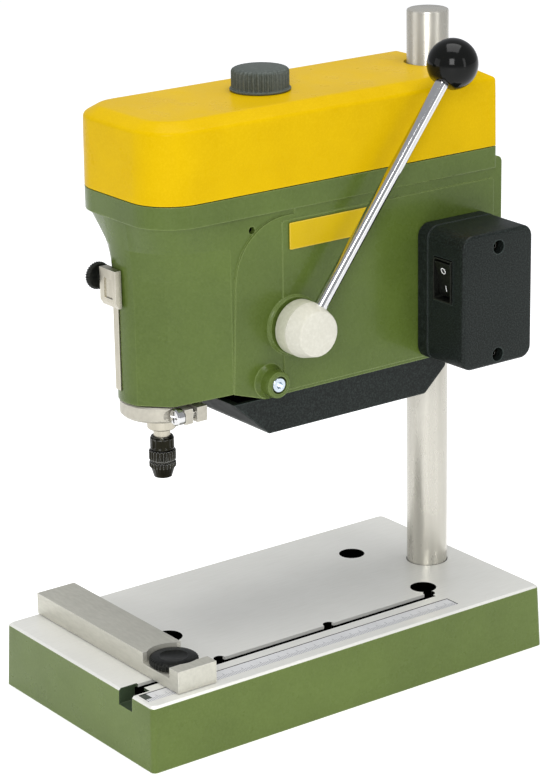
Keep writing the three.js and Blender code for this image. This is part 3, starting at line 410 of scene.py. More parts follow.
def painted(name, color, shade, pale, roughness):
    """Gloss paint on a casting: orange peel, slow colour drift and pale, thin lines along edges painted
    as highlights.
    """
    made = Finish(name, Coat_Weight=0.08, Coat_Roughness=0.08, Specular_IOR_Level=0.2)
    made.normal = made.add("Bevel", {"Radius": 0.7 * MM}, samples=6).outputs[0]
    drift = made.fit(made.noise(26, 4), 0.3, 0.7)
    tone = made.blend(drift, shade, color)
    grain = made.fit(made.noise(900, 2), 0.35, 0.7, 0.0, 0.07)
    tone = made.blend(grain, tone, pale)
    # Painted highlight: the pale colour laid along edges and creases, where the gloss paint catches
    # light.
    tone = made.blend(made.sum("MULTIPLY", made.edges(0.8, 0.004, 0.12), 0.5), tone, pale)
    made.bump(made.noise(420, 2), 0.05, 0.1)
    made.bump(made.noise(70, 2), 0.08, 0.5)
    rough = made.fit(made.noise(90, 4), 0.3, 0.7, roughness - 0.05, roughness + 0.09)
    return made.finish(tone, rough)


def moulded(name, color, shade, pale, roughness, grain=1500, depth=0.06, flecked=0.22, shine=0.2):
    """Moulded plastic with a spark-eroded grain and a painted highlight along its edges."""
    made = Finish(name, Specular_IOR_Level=shine)
    drift = made.fit(made.noise(35, 3), 0.3, 0.7)
    tone = made.blend(drift, shade, color)
    flecks = made.fit(made.noise(grain, 2), 0.42, 0.74, 0.0, flecked)
    tone = made.blend(flecks, tone, pale)
    # Painted highlight: the pale colour laid along edges.
    tone = made.blend(made.sum("MULTIPLY", made.edges(1.0, 0.01, 0.25), 0.5), tone, pale)
    made.bump(made.noise(grain, 3), 0.5, depth)
    rough = made.fit(made.noise(70, 3), 0.3, 0.7, roughness - 0.06, roughness + 0.08)
    return made.finish(tone, rough)


EVEN = (1, 1, 1)
DRAWN_ALONG_Z = (1, 1, 0.05)
# Colour of the painted highlight laid along metal edges.
EDGE_HIGHLIGHT = (0.9, 0.9, 0.88, 1)


def metal(name, color, shade, roughness, lines=EVEN, fine=600, depth=0.02, blotch=0.25, bare=1.0):
    """Bare metal: machining lines stretched along one axis, stains and edges brightened as a painted
    highlight.
    """
    made = Finish(name, Metallic=bare)
    grain = made.noise(fine, 4, lines)
    stain = made.fit(made.noise(34, 5), 0.35, 0.75, 0.0, blotch)
    tone = made.blend(stain, color, shade)
    tone = made.blend(made.fit(grain, 0.35, 0.7, 0.0, 0.3), tone, shade)
    # Painted highlight along edges.
    tone = made.blend(made.sum("MULTIPLY", made.edges(0.5), 0.4), tone, EDGE_HIGHLIGHT)
    made.bump(grain, 0.35, depth)
    uneven = made.sum("ADD", grain, made.noise(50, 3))
    return made.finish(tone, made.fit(uneven, 0.7, 1.3, roughness - 0.06, roughness + 0.1))


def off_mark(made, place):
    """How far a place counted in marks is from the nearest one."""
    return made.sum("ABSOLUTE", made.sum("SUBTRACT", place, made.sum("ROUND", place)))


def ticks(made, near, width, across, reach):
    """1 on marks that run in from the strip's outer edge to a reach, 0 between them."""
    on_mark = made.sum("LESS_THAN", near, width)
    return made.sum("MULTIPLY", on_mark, made.sum("GREATER_THAN", across, reach))


def ruled_strip():
    """Pale strip with a fine mark every millimetre, longer every fifth, and a dark patch in front."""
    made = Finish("scale_marks", Metallic=0.2)
    apart = made.add("SeparateXYZ", {"Vector": made.place})
    from_start = made.sum("SUBTRACT", apart.outputs["Y"], SCALE_START * MM)
    along = made.sum("DIVIDE", from_start, MM)
    across = made.sum("DIVIDE", apart.outputs["X"], MM)
    near = off_mark(made, along)
    near_fifth = off_mark(made, made.sum("DIVIDE", along, 5.0))
    short = ticks(made, near, 0.13, across, 49.6)
    long = ticks(made, near_fifth, 0.026, across, 48.0)
    line = made.sum("MAXIMUM", short, long)
    color = srgb(226, 226, 226)
    stained = tuple(c * 0.9 for c in color[:3]) + (1,)
    stain = made.blend(made.fit(made.noise(120, 4), 0.3, 0.7), color, stained)
    marked = made.blend(made.sum("MULTIPLY", line, 0.8), stain, srgb(84, 86, 92))
    in_front = made.sum("LESS_THAN", along, -2.7)
    patch = made.sum("MULTIPLY", in_front, made.sum("LESS_THAN", across, 49.8))
    made.bump(made.sum("SUBTRACT", made.noise(900, 2, (1, 0.1, 1)), line), 0.1, 0.03)
    rough = made.fit(made.noise(200, 3), 0.3, 0.7, 0.32, 0.45)
    return made.finish(made.blend(patch, marked, srgb(62, 68, 60)), rough)


def slanted_plastic():
    """Smooth slanted front of the tray, with a pale band along its lower edge painted as a highlight."""
    made = Finish("smooth_plastic", Specular_IOR_Level=0.03)
    height = made.add("SeparateXYZ", {"Vector": made.place}).outputs["Z"]
    wander = made.sum("MULTIPLY", made.noise(180, 4), 3 * MM)
    low = (TRAY[2][0] + 1.5) * MM
    painted_highlight_band = made.fit(made.sum("ADD", height, wander), low, low + 3 * MM, 1.0, 0.0)
    tone = made.blend(made.noise(600, 3), srgb(20, 23, 21), srgb(34, 38, 36))
    # Painted highlight: the pale band along the lower edge, where the rounded edge catches light from
    # below.
    tone = made.blend(painted_highlight_band, tone, srgb(112, 115, 111))
    made.bump(made.noise(1100, 3), 0.4, 0.05)
    return made.finish(tone, made.fit(made.noise(90, 3), 0.3, 0.7, 0.5, 0.62))


def gloss_ball():
    """Polished thermoset: almost mirror smooth, with faint handling marks."""
    made = Finish("gloss_black", Specular_IOR_Level=0.16)
    smear = made.fit(made.noise(90, 5), 0.45, 0.75, 0.07, 0.15)
    tone = made.blend(made.noise(60, 3), srgb(9, 10, 9), srgb(16, 17, 15))
    made.bump(made.noise(160, 2), 0.04, 0.1)
    return made.finish(tone, smear)


GREEN = painted("green_paint", srgb(88, 105, 44), srgb(79, 95, 38), srgb(150, 166, 108), 0.28)
# Painted shade: the head gets the same green as the base, made darker to stand for the shade on the
# upper casting.
HEAD_GREEN_SHADED = painted("head_paint_shaded", srgb(80, 97, 38), srgb(70, 86, 32), srgb(144, 160, 100), 0.26)
# Painted shade: a darker green for the slot entry's walls, standing for the shade inside the entry.
SLOT_SHADE_PAINT = painted("slot_paint_shaded", srgb(50, 62, 44), srgb(40, 50, 37), srgb(96, 108, 84), 0.42)
YELLOW = moulded("yellow_plastic", srgb(202, 166, 0), srgb(194, 158, 0), srgb(238, 206, 46), 0.3,
                 grain=1200, depth=0.04, flecked=0.12, shine=0.04)
BLACK = moulded("black_plastic", srgb(21, 25, 23), srgb(15, 19, 17), srgb(84, 96, 92), 0.42,
                depth=0.08, flecked=0.2, shine=0.14)
KNOB_GREY = moulded("knob_plastic", srgb(72, 78, 73), srgb(62, 68, 63), srgb(124, 130, 124), 0.46,
                    grain=900)
KNOB_BLACK = moulded("knob_black", srgb(15, 16, 14), srgb(10, 11, 9), srgb(66, 68, 62), 0.34,
                     grain=900, flecked=0.2, shine=0.14)
TABLE = metal("ground_table", srgb(236, 235, 228), srgb(222, 221, 213), 0.36,
              lines=(1, 0.1, 1), fine=900, depth=0.004, blotch=0.3, bare=0.35)
MILLED = metal("milled_aluminium", srgb(196, 194, 182), srgb(160, 159, 148), 0.42,
               lines=(0.3, 1, 1), fine=700, blotch=0.3, bare=0.5)
CAST_BRIGHT = metal("cast_aluminium", srgb(180, 176, 163), srgb(150, 146, 134), 0.38,
                    fine=500, bare=0.6)
CHROME = metal("chrome", srgb(206, 206, 206), srgb(184, 184, 184), 0.09,
               lines=DRAWN_ALONG_Z, fine=900, depth=0.001, blotch=0.1)
COLUMN_STEEL = metal("column_steel", srgb(190, 187, 177), srgb(172, 169, 158), 0.26,
                     lines=DRAWN_ALONG_Z, fine=260, depth=0.001, blotch=0.1, bare=0.7)
STEEL = metal("plain_steel", srgb(190, 188, 184), srgb(150, 148, 144), 0.36, fine=500)
# Blackened steel for screws and chuck; the base also uses it as painted shade inside its slot and holes.
DARK = metal("blackened_steel_and_recess_shade", srgb(37, 36, 28), srgb(22, 21, 16), 0.3)
NICKEL = metal("nickel_plate", srgb(184, 179, 164), srgb(156, 151, 136), 0.3,
               lines=(1, 1, 0.2), fine=500, depth=0.006)
BRONZE = metal("bronze", srgb(182, 148, 84), srgb(140, 110, 60), 0.4)
HUB = moulded("hub_coat", srgb(196, 194, 181), srgb(187, 185, 172), srgb(232, 230, 220), 0.36,
              grain=700, depth=0.02)
HUB_COLLAR = moulded("hub_collar", srgb(176, 176, 156), srgb(165, 165, 146), srgb(212, 211, 198), 0.38,
                     grain=700, depth=0.02)
LABEL = moulded("label_yellow", srgb(192, 163, 4), srgb(184, 155, 2), srgb(240, 208, 110), 0.32,
                grain=1800, depth=0.01, flecked=0.1, shine=0.1)
RUBBER = moulded("belt_rubber", srgb(30, 30, 30), srgb(22, 22, 22), srgb(60, 60, 60), 0.7)
MARK_WHITE = moulded("mark_white", srgb(235, 235, 235), srgb(222, 222, 222), srgb(250, 250, 250), 0.4)
SOCKET_BLUE = metal("zinc_plate", srgb(196, 206, 214), srgb(150, 164, 178), 0.22, fine=700, depth=0.01)
SCALE = ruled_strip()
FACET = slanted_plastic()
BALL = gloss_ball()

SLOT_FINISH = {
    "green_casting": GREEN, "yellow_cover": YELLOW, "ground_steel": STEEL, "bright_steel": CHROME,
    "dark_steel": DARK, "cast_aluminium": CAST_BRIGHT, "hub_coat": HUB, "black_plastic": BLACK,
    "grey_plastic": KNOB_GREY, "gloss_black": BALL, "brass": BRONZE, "belt_rubber": RUBBER,
    "plate_yellow": LABEL,
}


def finish_cad_nodes():
    """Gives every CAD node its slot's material; the ones left showing are the hidden works."""
    for row in frame["record"]["subparts"]:
        node = frame["nodes"][row["node"]]
        for holder in node.material_slots:
            holder.link = "OBJECT"
            holder.material = SLOT_FINISH[row["material_slot"]]


# ---------------------------------------------------------------- base, column and fence
def base_outline(inset):
    xs, ys = BASE[:2]
    return rectangle((xs[0] + inset, xs[1] - inset), (ys[0] + inset, ys[1] - inset), BASE_CORNER)


def slot_tools(top):
    """Cutters for the tee slot, its undercut, its wide entry and the round notches beside it."""
    left = SLOT_X - SLOT_HALF
    undercut_xs = (SLOT_X - UNDERCUT_HALF, SLOT_X + UNDERCUT_HALF)
    start = ENTRY_END - 1
    notch_zs = (SLOT_FLOOR + 0.01, top + 1.2)
    return [
        block((left, SLOT_X + SLOT_HALF), (start, SLOT_END), (SLOT_FLOOR, top + 1)),
        block(undercut_xs, (start, SLOT_END - 0.01), (SLOT_FLOOR - 0.01, top - SLOT_LIP)),
        block(ENTRY_XS, (BASE[1][0] - 1, ENTRY_END), (SLOT_FLOOR - 0.02, top + 1.1)),
        *[rod("z", NOTCH_RADIUS, notch_zs, (left, y), 40) for y in NOTCH_PLACES]]


def base_plate():
    top = BASE[2][1]
    through = (-1, top + 1)
    body = stack([[base_outline(0), 0], [base_outline(BASE_DRAFT), top - TABLE_DROP],
                  [base_outline(TABLE_INSET), top]])
    tools = [
        block(SCALE_BED_XS, SCALE_BED_YS, (top - 1, top + 1)),
        rod("z", DRILL_HOLE_RADIUS, through, (0, SPINDLE_Y)),
        rod("z", COLUMN[0][1] + 0.35, (3, top + 1), (0, COLUMN_Y)),
        rod("y", 3, (COLUMN_Y, 112), SET_SCREW_AT, 32),
    ]
    for x in (-BENCH_HOLE_X, BENCH_HOLE_X):
        tools.append(rod("z", BENCH_HOLE_RADIUS, through, (x, BENCH_HOLE_Y)))
    soften(cut(body, *slot_tools(top), *tools), 0.3, 2, 12)
    # Dark metal and the darkened slot green give painted shade inside the slot and holes.
    piece("base_plate", body, "base", ["base_casting"], "green_casting", GREEN, TABLE, DARK, SLOT_SHADE_PAINT,
          smooth_angle=10)
    for face in body.data.polygons:
        face.material_index = base_face_material(face, top)


def base_face_material(face, top):
    """0 is paint, 1 the ground table, 2 dark metal inside slots and holes as painted shade, 3 the slot's
    entry in a green darkened as painted shade.
    """
    x, y, z = (value / MM for value in face.center)
    level = face.normal.z > 0.4
    if z > top - TABLE_DROP - 0.01 and level:
        return 1
    near_slot = abs(x - SLOT_X) < 7 and z > SLOT_FLOOR - 1 and y < SLOT_END + 3.5
    # The slot's entry gets the darkened green as painted shade.
    if near_slot and y < ENTRY_END + 0.1:
        return 3
    if near_slot:
        # Below the lip the undercut gets dark metal as painted shade.
        return 1 if z > top - SLOT_LIP - 0.01 else 2
    # Insides of holes get dark metal as painted shade.
    inside = abs(x) < 55 and abs(y) < 107 and 1 < z < top + 0.01
    return 2 if inside else 0


def scale_strip():
    strip = soften(block(*spans("scale_strip")), 0.1, 1)
    piece("scale_strip_marked", strip, "base", ["scale_strip"], "cast_aluminium", SCALE)


def column():
    low, high = COLUMN[2]
    radius = COLUMN[0][1]
    profile = [(radius - 1, low), (radius, low + 1), (radius, high - 0.9), (radius - 0.25, high - 0.3),
               (radius - 0.9, high)]
    post = turned("z", profile, (0, COLUMN_Y), 128)
    piece("column_post", post, "column", ["column"], "bright_steel", COLUMN_STEEL)


def fence():
    xs, ys, (z0, z1) = spans("fence_bar")
    shelf = z0 + FENCE_SHELF
    at = (SLOT_X, CLAMP_Y)
    bar = block(xs, ys, (z0, z1))
    bite = rod("z", FENCE_BITE_RADIUS, (shelf, z1 + 1), at, 96)
    opening = block((SLOT_X - 9, xs[1] - 6.6), (ys[0] - 1, ys[1] + 1), (shelf + 0.01, z1 + 1.1))
    cut(bar, bite, opening, rod("z", 2.6, (z0 - 1, z1), at, 32))
    piece("fence", soften(bar, 0.5, 3), "fence", ["fence_bar"], "cast_aluminium", MILLED)


def fence_knob():
    xs, _, (z0, z1) = spans("fence_clamp_knob")
    at = (SLOT_X, CLAMP_Y)
    radius = (xs[1] - xs[0]) / 2
    rib = 0.45
    profile = [(radius - 1.4, z0), (radius - 0.4, z0 + 0.4, rib), (radius, z0 + 0.9, rib),
               (radius, z1 - 0.9, rib), (radius - 0.5, z1 - 0.5, rib * 0.6), (radius - 1.4, z1 - 0.1),
               (radius - 4.5, z1), (radius - 5, z1 - 0.35), (0.6, z1 - 0.45)]
    knob = cut(turned("z", profile, at, 240, 40), rod("z", 2.4, (z0 - 1, z0 + 2.5), at, 32))
    piece("fence_knob", knob, "fence_knob", ["fence_clamp_knob"], "black_plastic", KNOB_BLACK)


# ---------------------------------------------------------------- head casting
def reach_of(points, origin, angle):
    """Distance from a point to an outline round it, in a direction."""
    direction = Vector((math.cos(angle), math.sin(angle)))
    best = 0
    for a, b in zip(points, points[1:] + points[:1]):
        edge = b - a
        across = direction.cross(edge)
        if abs(across) < 1e-9:
            continue
        start = a - origin
        place = start.cross(direction) / across
        if -1e-6 <= place <= 1 + 1e-6:
            best = max(best, start.cross(edge) / across)
    return best


def round_spindle(radius, degrees):
    angle = math.radians(degrees)
    return Vector((radius * math.cos(angle), SPINDLE_Y + radius * math.sin(angle)))


def neck_outline():
    """A round nose with a narrow flat and a wide cheek on each side of it."""
    side = HALF_BODY - 0.6
    nose = [round_spindle(NECK_RADIUS, -114 + 2 * i) for i in range(25)]
    left, right = (round_spindle(NECK_CORNER, degrees) for degrees in (-158, -22))
    return [Vector((side, -10)), Vector((-side, -10)), Vector((-side, BODY_FRONT)), left, *nose, right,
            Vector((side, BODY_FRONT))]


def funnel_outline():
    side = RIM_HALF - 2.2
    front = COVER[1][0] + 0.8
    return filleted([(side + 0.8, -10), (-side - 0.8, -10), (-side, -40), (-side, front, FUNNEL_CORNER),
                     (side, front, FUNNEL_CORNER), (side, -40)], 16)


def neck_and_funnel():
    """The neck, and the funnel that opens from it to the rim, as rings seen from one middle."""
    origin = Vector((0, NECK_MIDDLE_Y))
    lower, upper = neck_outline(), funnel_outline()
    around, rows = 320, 3
    creases = [corner - origin for corner in (*lower[2:5], *lower[-3:])]
    turns = [i / around for i in range(around)]
    turns += [(math.atan2(c.y, c.x) / (2 * math.pi) - 0.25) % 1 for c in creases]
    angles = [math.pi / 2 + 2 * math.pi * turn for turn in sorted(turns)]
    near = [reach_of(lower, origin, a) for a in angles]
    far = [reach_of(upper, origin, a) for a in angles]
    rise_height = RIM_BOTTOM + 0.5 - FUNNEL_START
    heights = [HEAD[2][0]] + [FUNNEL_START + rise_height * i / rows for i in range(rows + 1)]
    rings = []
    for height in heights:
        rise = min(1, max(0, (height - FUNNEL_START) / (RIM_BOTTOM - FUNNEL_START)))
        reaches = [n + (f - n) * rise ** 2 for n, f in zip(near, far)]
        rings.append([(origin.x + r * math.cos(a), origin.y + r * math.sin(a), height)
                      for r, a in zip(reaches, angles)])
    return loft(rings)


def rim_outline(inset, steps=16):
    front, rear = COVER[1][0] + inset, COVER[1][1] - inset
    side = RIM_HALF - inset
    nose, tail = RIM_NOSE - inset, max(0.6, RIM_TAIL - inset)
    corners = [(-side, front, nose), (side, front, nose), (side, rear, tail), (-side, rear, tail)]
    return filleted(corners, steps)


def lug(xs):
    return plate("x", rectangle((BODY_REAR - 6, LUG_REAR), LUG_ZS, 5), xs)


def head_solid():
    bottom, top = HEAD[2]
    side = filleted([(BODY_FRONT, bottom), (BODY_REAR, bottom, 2), (BODY_REAR, RIM_BOTTOM + 5, 3),
                     (-12, RIM_BOTTOM + 5), (-12, RIM_BOTTOM - 2.5),
                     (BODY_FRONT + 3, RIM_BOTTOM - 2.5, 27), (BODY_FRONT, bottom + 1)], 24)
    panel = HALF_BODY + PANEL_PROUD
    panel_side = rectangle((PANEL_FRONT, PANEL_REAR), (bottom + 1.5, PANEL_TOP), 1.5)
    feed_boss = [(13.4, HALF_BODY - 2), (13.4, HALF_BODY + 0.6), (12.8, HALF_BODY + 1.1), (12.8, 36)]
    screw_boss = [(8.4, HALF_BODY - 1), (7, HALF_BODY + 0.9), (6.3, HALF_BODY + 2.4), (6.1, 40),
                  (5.8, 41.6), (5.2, 42)]
    left_lug, right_lug = lug((-LUG_XS[1], -LUG_XS[0])), lug(LUG_XS)
    return join(
        plate("x", side, (-HALF_BODY, HALF_BODY)),
        neck_and_funnel(),
        plate("x", panel_side, (-panel, panel)),
        plate("z", rim_outline(0), (RIM_BOTTOM, top)),
        rod("z", 15.5, (bottom, RIM_BOTTOM + 4.6), (0, COLUMN_Y)),
        turned("x", feed_boss, (FEED_Y, FEED_Z)),
        turned("x", screw_boss, TRAY_SCREW_AT),
        left_lug, right_lug)


def edge_arch(side):
    """The lower edge arches up between the neck and the motor tray."""
    low = HEAD[2][0]
    shape = [(-66, low - 1), (-30, low - 1), (-30, low), (BODY_FRONT, ARCH_TOP), (-66, low)]
    return plate("x", filleted(shape), sorted(side * x for x in ARCH_XS))


def head_hollow():
    """Cutters for everything open in the casting."""
    bottom, top = HEAD[2]
    side = HALF_BODY - WALL
    floor_top = bottom + WALL
    spindle_at, column_at = (0, SPINDLE_Y), (0, COLUMN_Y)
    pockets = [block(sorted((s * side, s * 19)), (75, 99), (floor_top, RIM_BOTTOM + 2)) for s in (-1, 1)]
    return [
        block((-side, side), (-38, 71), (floor_top, top + 1)),
        plate("z", rim_outline(WALL), (RIM_BOTTOM + 1, top + 1.1)),
        block((1 - side, side - 1), (-28, 67), (bottom - 1, floor_top + 1)),
        *pockets,
        rod("z", QUILL_BORE, (bottom - 1, QUILL_BORE_TOP), spindle_at),
        rod("z", 9.3, (QUILL_BORE_TOP - 1, top + 1), spindle_at),
        rod("z", 11.3, (218.7, top + 1), spindle_at),
        block((-5, 5), (SPINDLE_Y, -36), (bottom - 1.1, QUILL_BORE_TOP + 0.1)),
        rod("z", COLUMN_BORE, (bottom - 1, top + 1), column_at),
        block((-1, 1), (COLUMN_Y, LUG_REAR + 2), (bottom - 1.2, top + 1.2)),
        rod("x", 6.3, (-40, 50), (FEED_Y, FEED_Z)),
        rod("x", 3.3, (-20, 20), CLAMP_SCREW_AT, 32),
        rod("x", 3.9, (39, 50), TRAY_SCREW_AT),
        rod("x", 2.3, (20, 50), TRAY_SCREW_AT, 32),
        block(*RAIL_GROOVE),
        edge_arch(-1),
        edge_arch(1),
    ]


def head_casting():
    side_hole = rod("x", 1.6, (28, 45), SIDE_HOLE_AT, 32)
    body = cut(head_solid(), *head_hollow(), side_hole)
    piece("head_body", body, "head", ["head_casting"], "green_casting", HEAD_GREEN_SHADED, smooth_angle=7)


# ---------------------------------------------------------------- belt cover
def cover_profile(inset):
    """(inset, height) from the seam up the wall, over the round shoulder, up the slope to the top."""
    seam, top = COVER[2]
    crown = RIM_HALF - 27.5
    slope = math.atan2(top - COVER_SHOULDER, crown - 0.4)
    profile = [(0, seam), (0.25, COVER_SHOULDER - 8), (0.4, COVER_SHOULDER - 1.9)]
    turn = math.pi / 2 - slope
    reach = COVER_ROUND * math.tan(turn / 2)
    centre_out, centre_up = 0.4 + COVER_ROUND, COVER_SHOULDER - reach
    for i in range(1, 9):
        angle = math.pi - turn * i / 8
        out, up = COVER_ROUND * math.cos(angle), COVER_ROUND * math.sin(angle)
        profile.append((centre_out + out, centre_up + up))
    profile += [(crown - 1.2, top - 0.45), (crown - 0.5, top - 0.18), (crown + 0.3, top - 0.04),
                (crown + 1.5, top)]
    if inset:
        profile = [(a + inset, b - inset) for a, b in profile]
        profile[0] = (inset, seam - 1)
    return profile


def belt_cover():
    shell = stack([[rim_outline(a), b] for a, b in cover_profile(0)])
    room = stack([[rim_outline(a), b] for a, b in cover_profile(COVER_WALL)])
    seam, top = COVER[2]
    notch = COLUMN[0][1] + 1.2
    knob_y = centre("cover_knob")[1]
    cut(shell, room, rod("z", notch, (seam - 1, top + 1), (0, COLUMN_Y)),
        block((-notch, notch), (COLUMN_Y, COVER[1][1] + 1), (seam - 1, top + 1.1)),
        rod("z", 3.2, (top - 5, top + 1.2), (0, knob_y), 32))
    piece("cover_shell", soften(shell, 0.3, 2, 50), "head", ["belt_cover"], "yellow_cover", YELLOW)


def cover_knob():
    xs, _, (z0, z1) = spans("cover_knob")
    at = (0, centre("cover_knob")[1])
    flange = (xs[1] - xs[0]) / 2
    rib = 1.0
    profile = [(flange - 0.2, z0), (flange, z0 + 0.3), (flange, z0 + 0.7), (flange - 0.5, z0 + 0.95),
               (KNOB_GRIP, z0 + 1.1, rib), (KNOB_GRIP, z1 - 1.5, rib),
               (KNOB_GRIP - 0.35, z1 - 0.7, rib * 0.8), (KNOB_GRIP - 1.1, z1 - 0.2, rib * 0.4),
               (KNOB_GRIP - 2, z1), (0.6, z1 - 0.05)]
    knob = cut(turned("z", profile, at, 288, 36), rod("z", 2.3, (z0 - 1, z0 + 4.2), at, 32))
    piece("cover_knob_grip", knob, "cover_knob", ["cover_knob"], "grey_plastic", KNOB_GREY)


# ---------------------------------------------------------------- tray
def tray_side(inset):
    bottom, top = TRAY[2]
    lid = top + (1 if inset else 0)
    slanted = inset * 0.7
    return filleted([(TRAY_FRONT + inset, lid), (-26.5 + slanted, bottom + inset),
                     (61 - slanted, bottom + inset, 3), (TRAY_REAR - inset, 138.5, 2),
                     (TRAY_REAR - inset, lid)], 6)


def motor_tray():
    half = TRAY[0][1]
    bottom, top = TRAY[2]
    shell = plate("x", tray_side(0), (-half, half))
    room = plate("x", tray_side(TRAY_WALL), (TRAY_WALL - half, half - TRAY_WALL))
    vents = [block((x - 1.2, x + 1.2), (14, 44), (bottom - 1, bottom + 4)) for x in range(-18, 19, 6)]
    cut(shell, room, rod("z", 20, (bottom - 1, top + 2), (0, SPINDLE_Y), 96), *vents)
    soften(shell, 0.7, 3)
    piece("tray_shell", shell, "head", ["motor_tray"], "black_plastic", BLACK, FACET)
    for face in shell.data.polygons:
        face.material_index = int(face.normal.y < -0.5 and face.normal.z < -0.5)


# ---------------------------------------------------------------- screws
def socket_screw(axis, radius, height, top, at, socket, shank, length):
    profile = [(shank, top - height - length), (shank, top - height), (radius - 0.2, top - height),
               (radius, top - height + 0.2), (radius, top - 0.45), (radius - 0.4, top)]
    body = turned(axis, profile, at, 64)
    return cut(body, rod(axis, socket, (top - height * 0.6, top + 1), at, 6))


def head_screws():
    outer = spans("tray_screw")[0][1]
    screw = soften(socket_screw("x", 3.4, 2.6, outer, TRAY_SCREW_AT, 1.6, 2, 9), 0.12, 2)
    piece("tray_screw_head", screw, "head", ["tray_screw"], "bright_steel", SOCKET_BLUE)
    outer = spans("head_clamp_screw")[0][1]
    screw = soften(socket_screw("x", 5, 6, outer, CLAMP_SCREW_AT, 2.6, 3, 26), 0.2, 2)
    piece("clamp_screw", screw, "head_clamp", ["head_clamp_screw"], "dark_steel", DARK)
    x0, x1 = spans("head_clamp_nut")[0]
    nut = cut(rod("x", 5.5, (x0, x1), CLAMP_SCREW_AT, 6),
              rod("x", 3.3, (x0 - 1, x1 + 1), CLAMP_SCREW_AT, 32))
    piece("clamp_nut", soften(nut, 0.35, 2), "head", ["head_clamp_nut"], "dark_steel", DARK)
    y0 = spans("column_set_screw")[1][0]
    grub = cut(rod("y", 2.7, (y0, y0 + 8), SET_SCREW_AT, 48),
               rod("y", 1.4, (y0 + 5, y0 + 9), SET_SCREW_AT, 6))
    piece("set_screw", soften(grub, 0.2, 2), "base", ["column_set_screw"], "dark_steel", DARK)


# ---------------------------------------------------------------- feed lever
def pointed(start, towards, profile, sides=96):
    """A turned piece whose axis runs from one point towards another."""
    direction = (towards - start).normalized()
    turn = Vector((0, 0, 1)).rotation_difference(direction).to_matrix().to_4x4()
    angles = [2 * math.pi * i / sides for i in range(sides)]
    rings = [[(r * math.cos(a), r * math.sin(a), h) for a in angles] for r, h in profile]
    return loft(rings, Matrix.Translation(start) @ turn)


def feed_hub():
    x0, x1 = spans("feed_hub")[0]
    at = (FEED_Y, FEED_Z)
    collar_profile = [(11.7, x0), (HUB_RADIUS, x0 + 0.5), (HUB_RADIUS, HUB_SHOULDER - 0.5),
                      (12, HUB_SHOULDER - 0.15), (11.4, HUB_SHOULDER)]
    collar = turned("x", collar_profile, at, 128)
    bore = rod("x", 5.3, (x0 - 1, HUB_SHOULDER + 1), at, 32)
    piece("hub_collar", cut(collar, bore), "feed_lever", [], "hub_coat", HUB_COLLAR)
    cone_profile = [(11.9, HUB_SHOULDER + 0.02), (HUB_RADIUS, HUB_SHOULDER + 0.3),
                    (12.1, HUB_SHOULDER + 0.8), (10.2, x1 - 0.9), (10, x1 - 0.5), (9.7, x1 - 0.15),
                    (9.3, x1)]
    cone = turned("x", cone_profile, at, 128)
    start = Vector((HUB_SHOULDER, FEED_Y, FEED_Z))
    tip = Vector((HUB_SHOULDER, centre("lever_ball")[1], centre("lever_ball")[2]))
    cut(cone, pointed(start, tip, [(3.3, 5.7), (3.3, 20)], 48))
    piece("hub_cone", soften(cone, 0.2, 2, 50), "feed_lever", ["feed_hub"], "hub_coat", HUB)


def lever():
    start = Vector((HUB_SHOULDER, FEED_Y, FEED_Z))
    towards = start + Vector((0, math.cos(LEVER_ANGLE), math.sin(LEVER_ANGLE)))
    ball_foot = BALL_REACH - BALL_FLAT
    rod_profile = [(2.6, 6), (LEVER_RADIUS, 6.4), (LEVER_RADIUS, ball_foot - 0.35),
                   (2.4, ball_foot - 0.3), (2.4, BALL_REACH - 2)]
    bar = pointed(start, towards, rod_profile)
    piece("lever_bar", bar, "feed_lever", ["lever_rod"], "bright_steel", CHROME)
    low = -math.asin(BALL_FLAT / BALL_RADIUS)
    steps = 48
    arc = [low + (math.pi / 2 - low) * i / steps for i in range(steps)]
    profile = [(BALL_RADIUS * math.cos(a), BALL_REACH + BALL_RADIUS * math.sin(a)) for a in arc]
    ball = pointed(start, towards, [*profile, (0.1, BALL_REACH + BALL_RADIUS)], 96)
    cut(ball, pointed(start, towards, [(2.7, BALL_REACH - 20), (2.7, BALL_REACH - 1.5)], 48))
    piece("lever_knob", soften(ball, 0.35, 3, 40), "feed_lever", ["lever_ball"], "gloss_black", BALL)


# ---------------------------------------------------------------- quill, ring and chuck
def clamp_ring():
    z0, z1 = RING[2]
    at = (0, SPINDLE_Y)
    front, rear = SPINDLE_Y - 3.2, SPINDLE_Y + 8.4
    ring_profile = [(RING_RADIUS - 1.2, z0), (RING_RADIUS, z0 + 1.2), (RING_RADIUS, z1 - 0.6),
                    (RING_RADIUS - 0.5, z1)]
    ring = turned("z", ring_profile, at, 128)
    join(ring, block((12.5, 23), (front, rear), (z0 + 0.3, z1 - 0.3)))
    cut(ring, rod("z", QUILL_BORE, (z0 + 2.4, z1 + 1), at), rod("z", 7.6, (z0 - 1, z0 + 3), at),
        block((7, 24), (SPINDLE_Y + 1, SPINDLE_Y + 3.2), (z0 - 1, z1 + 1)),
        rod("y", 4.1, (front - 11, front + 0.4), RING_SCREW_AT),
        rod("y", 2.2, (SPINDLE_Y - 20, SPINDLE_Y + 20), RING_SCREW_AT, 32))
    soften(ring, 0.35, 3)
    piece("clamp_ring", ring, "quill", ["quill_clamp_ring"], "cast_aluminium", CAST_BRIGHT)
    ring_screw(front, rear)


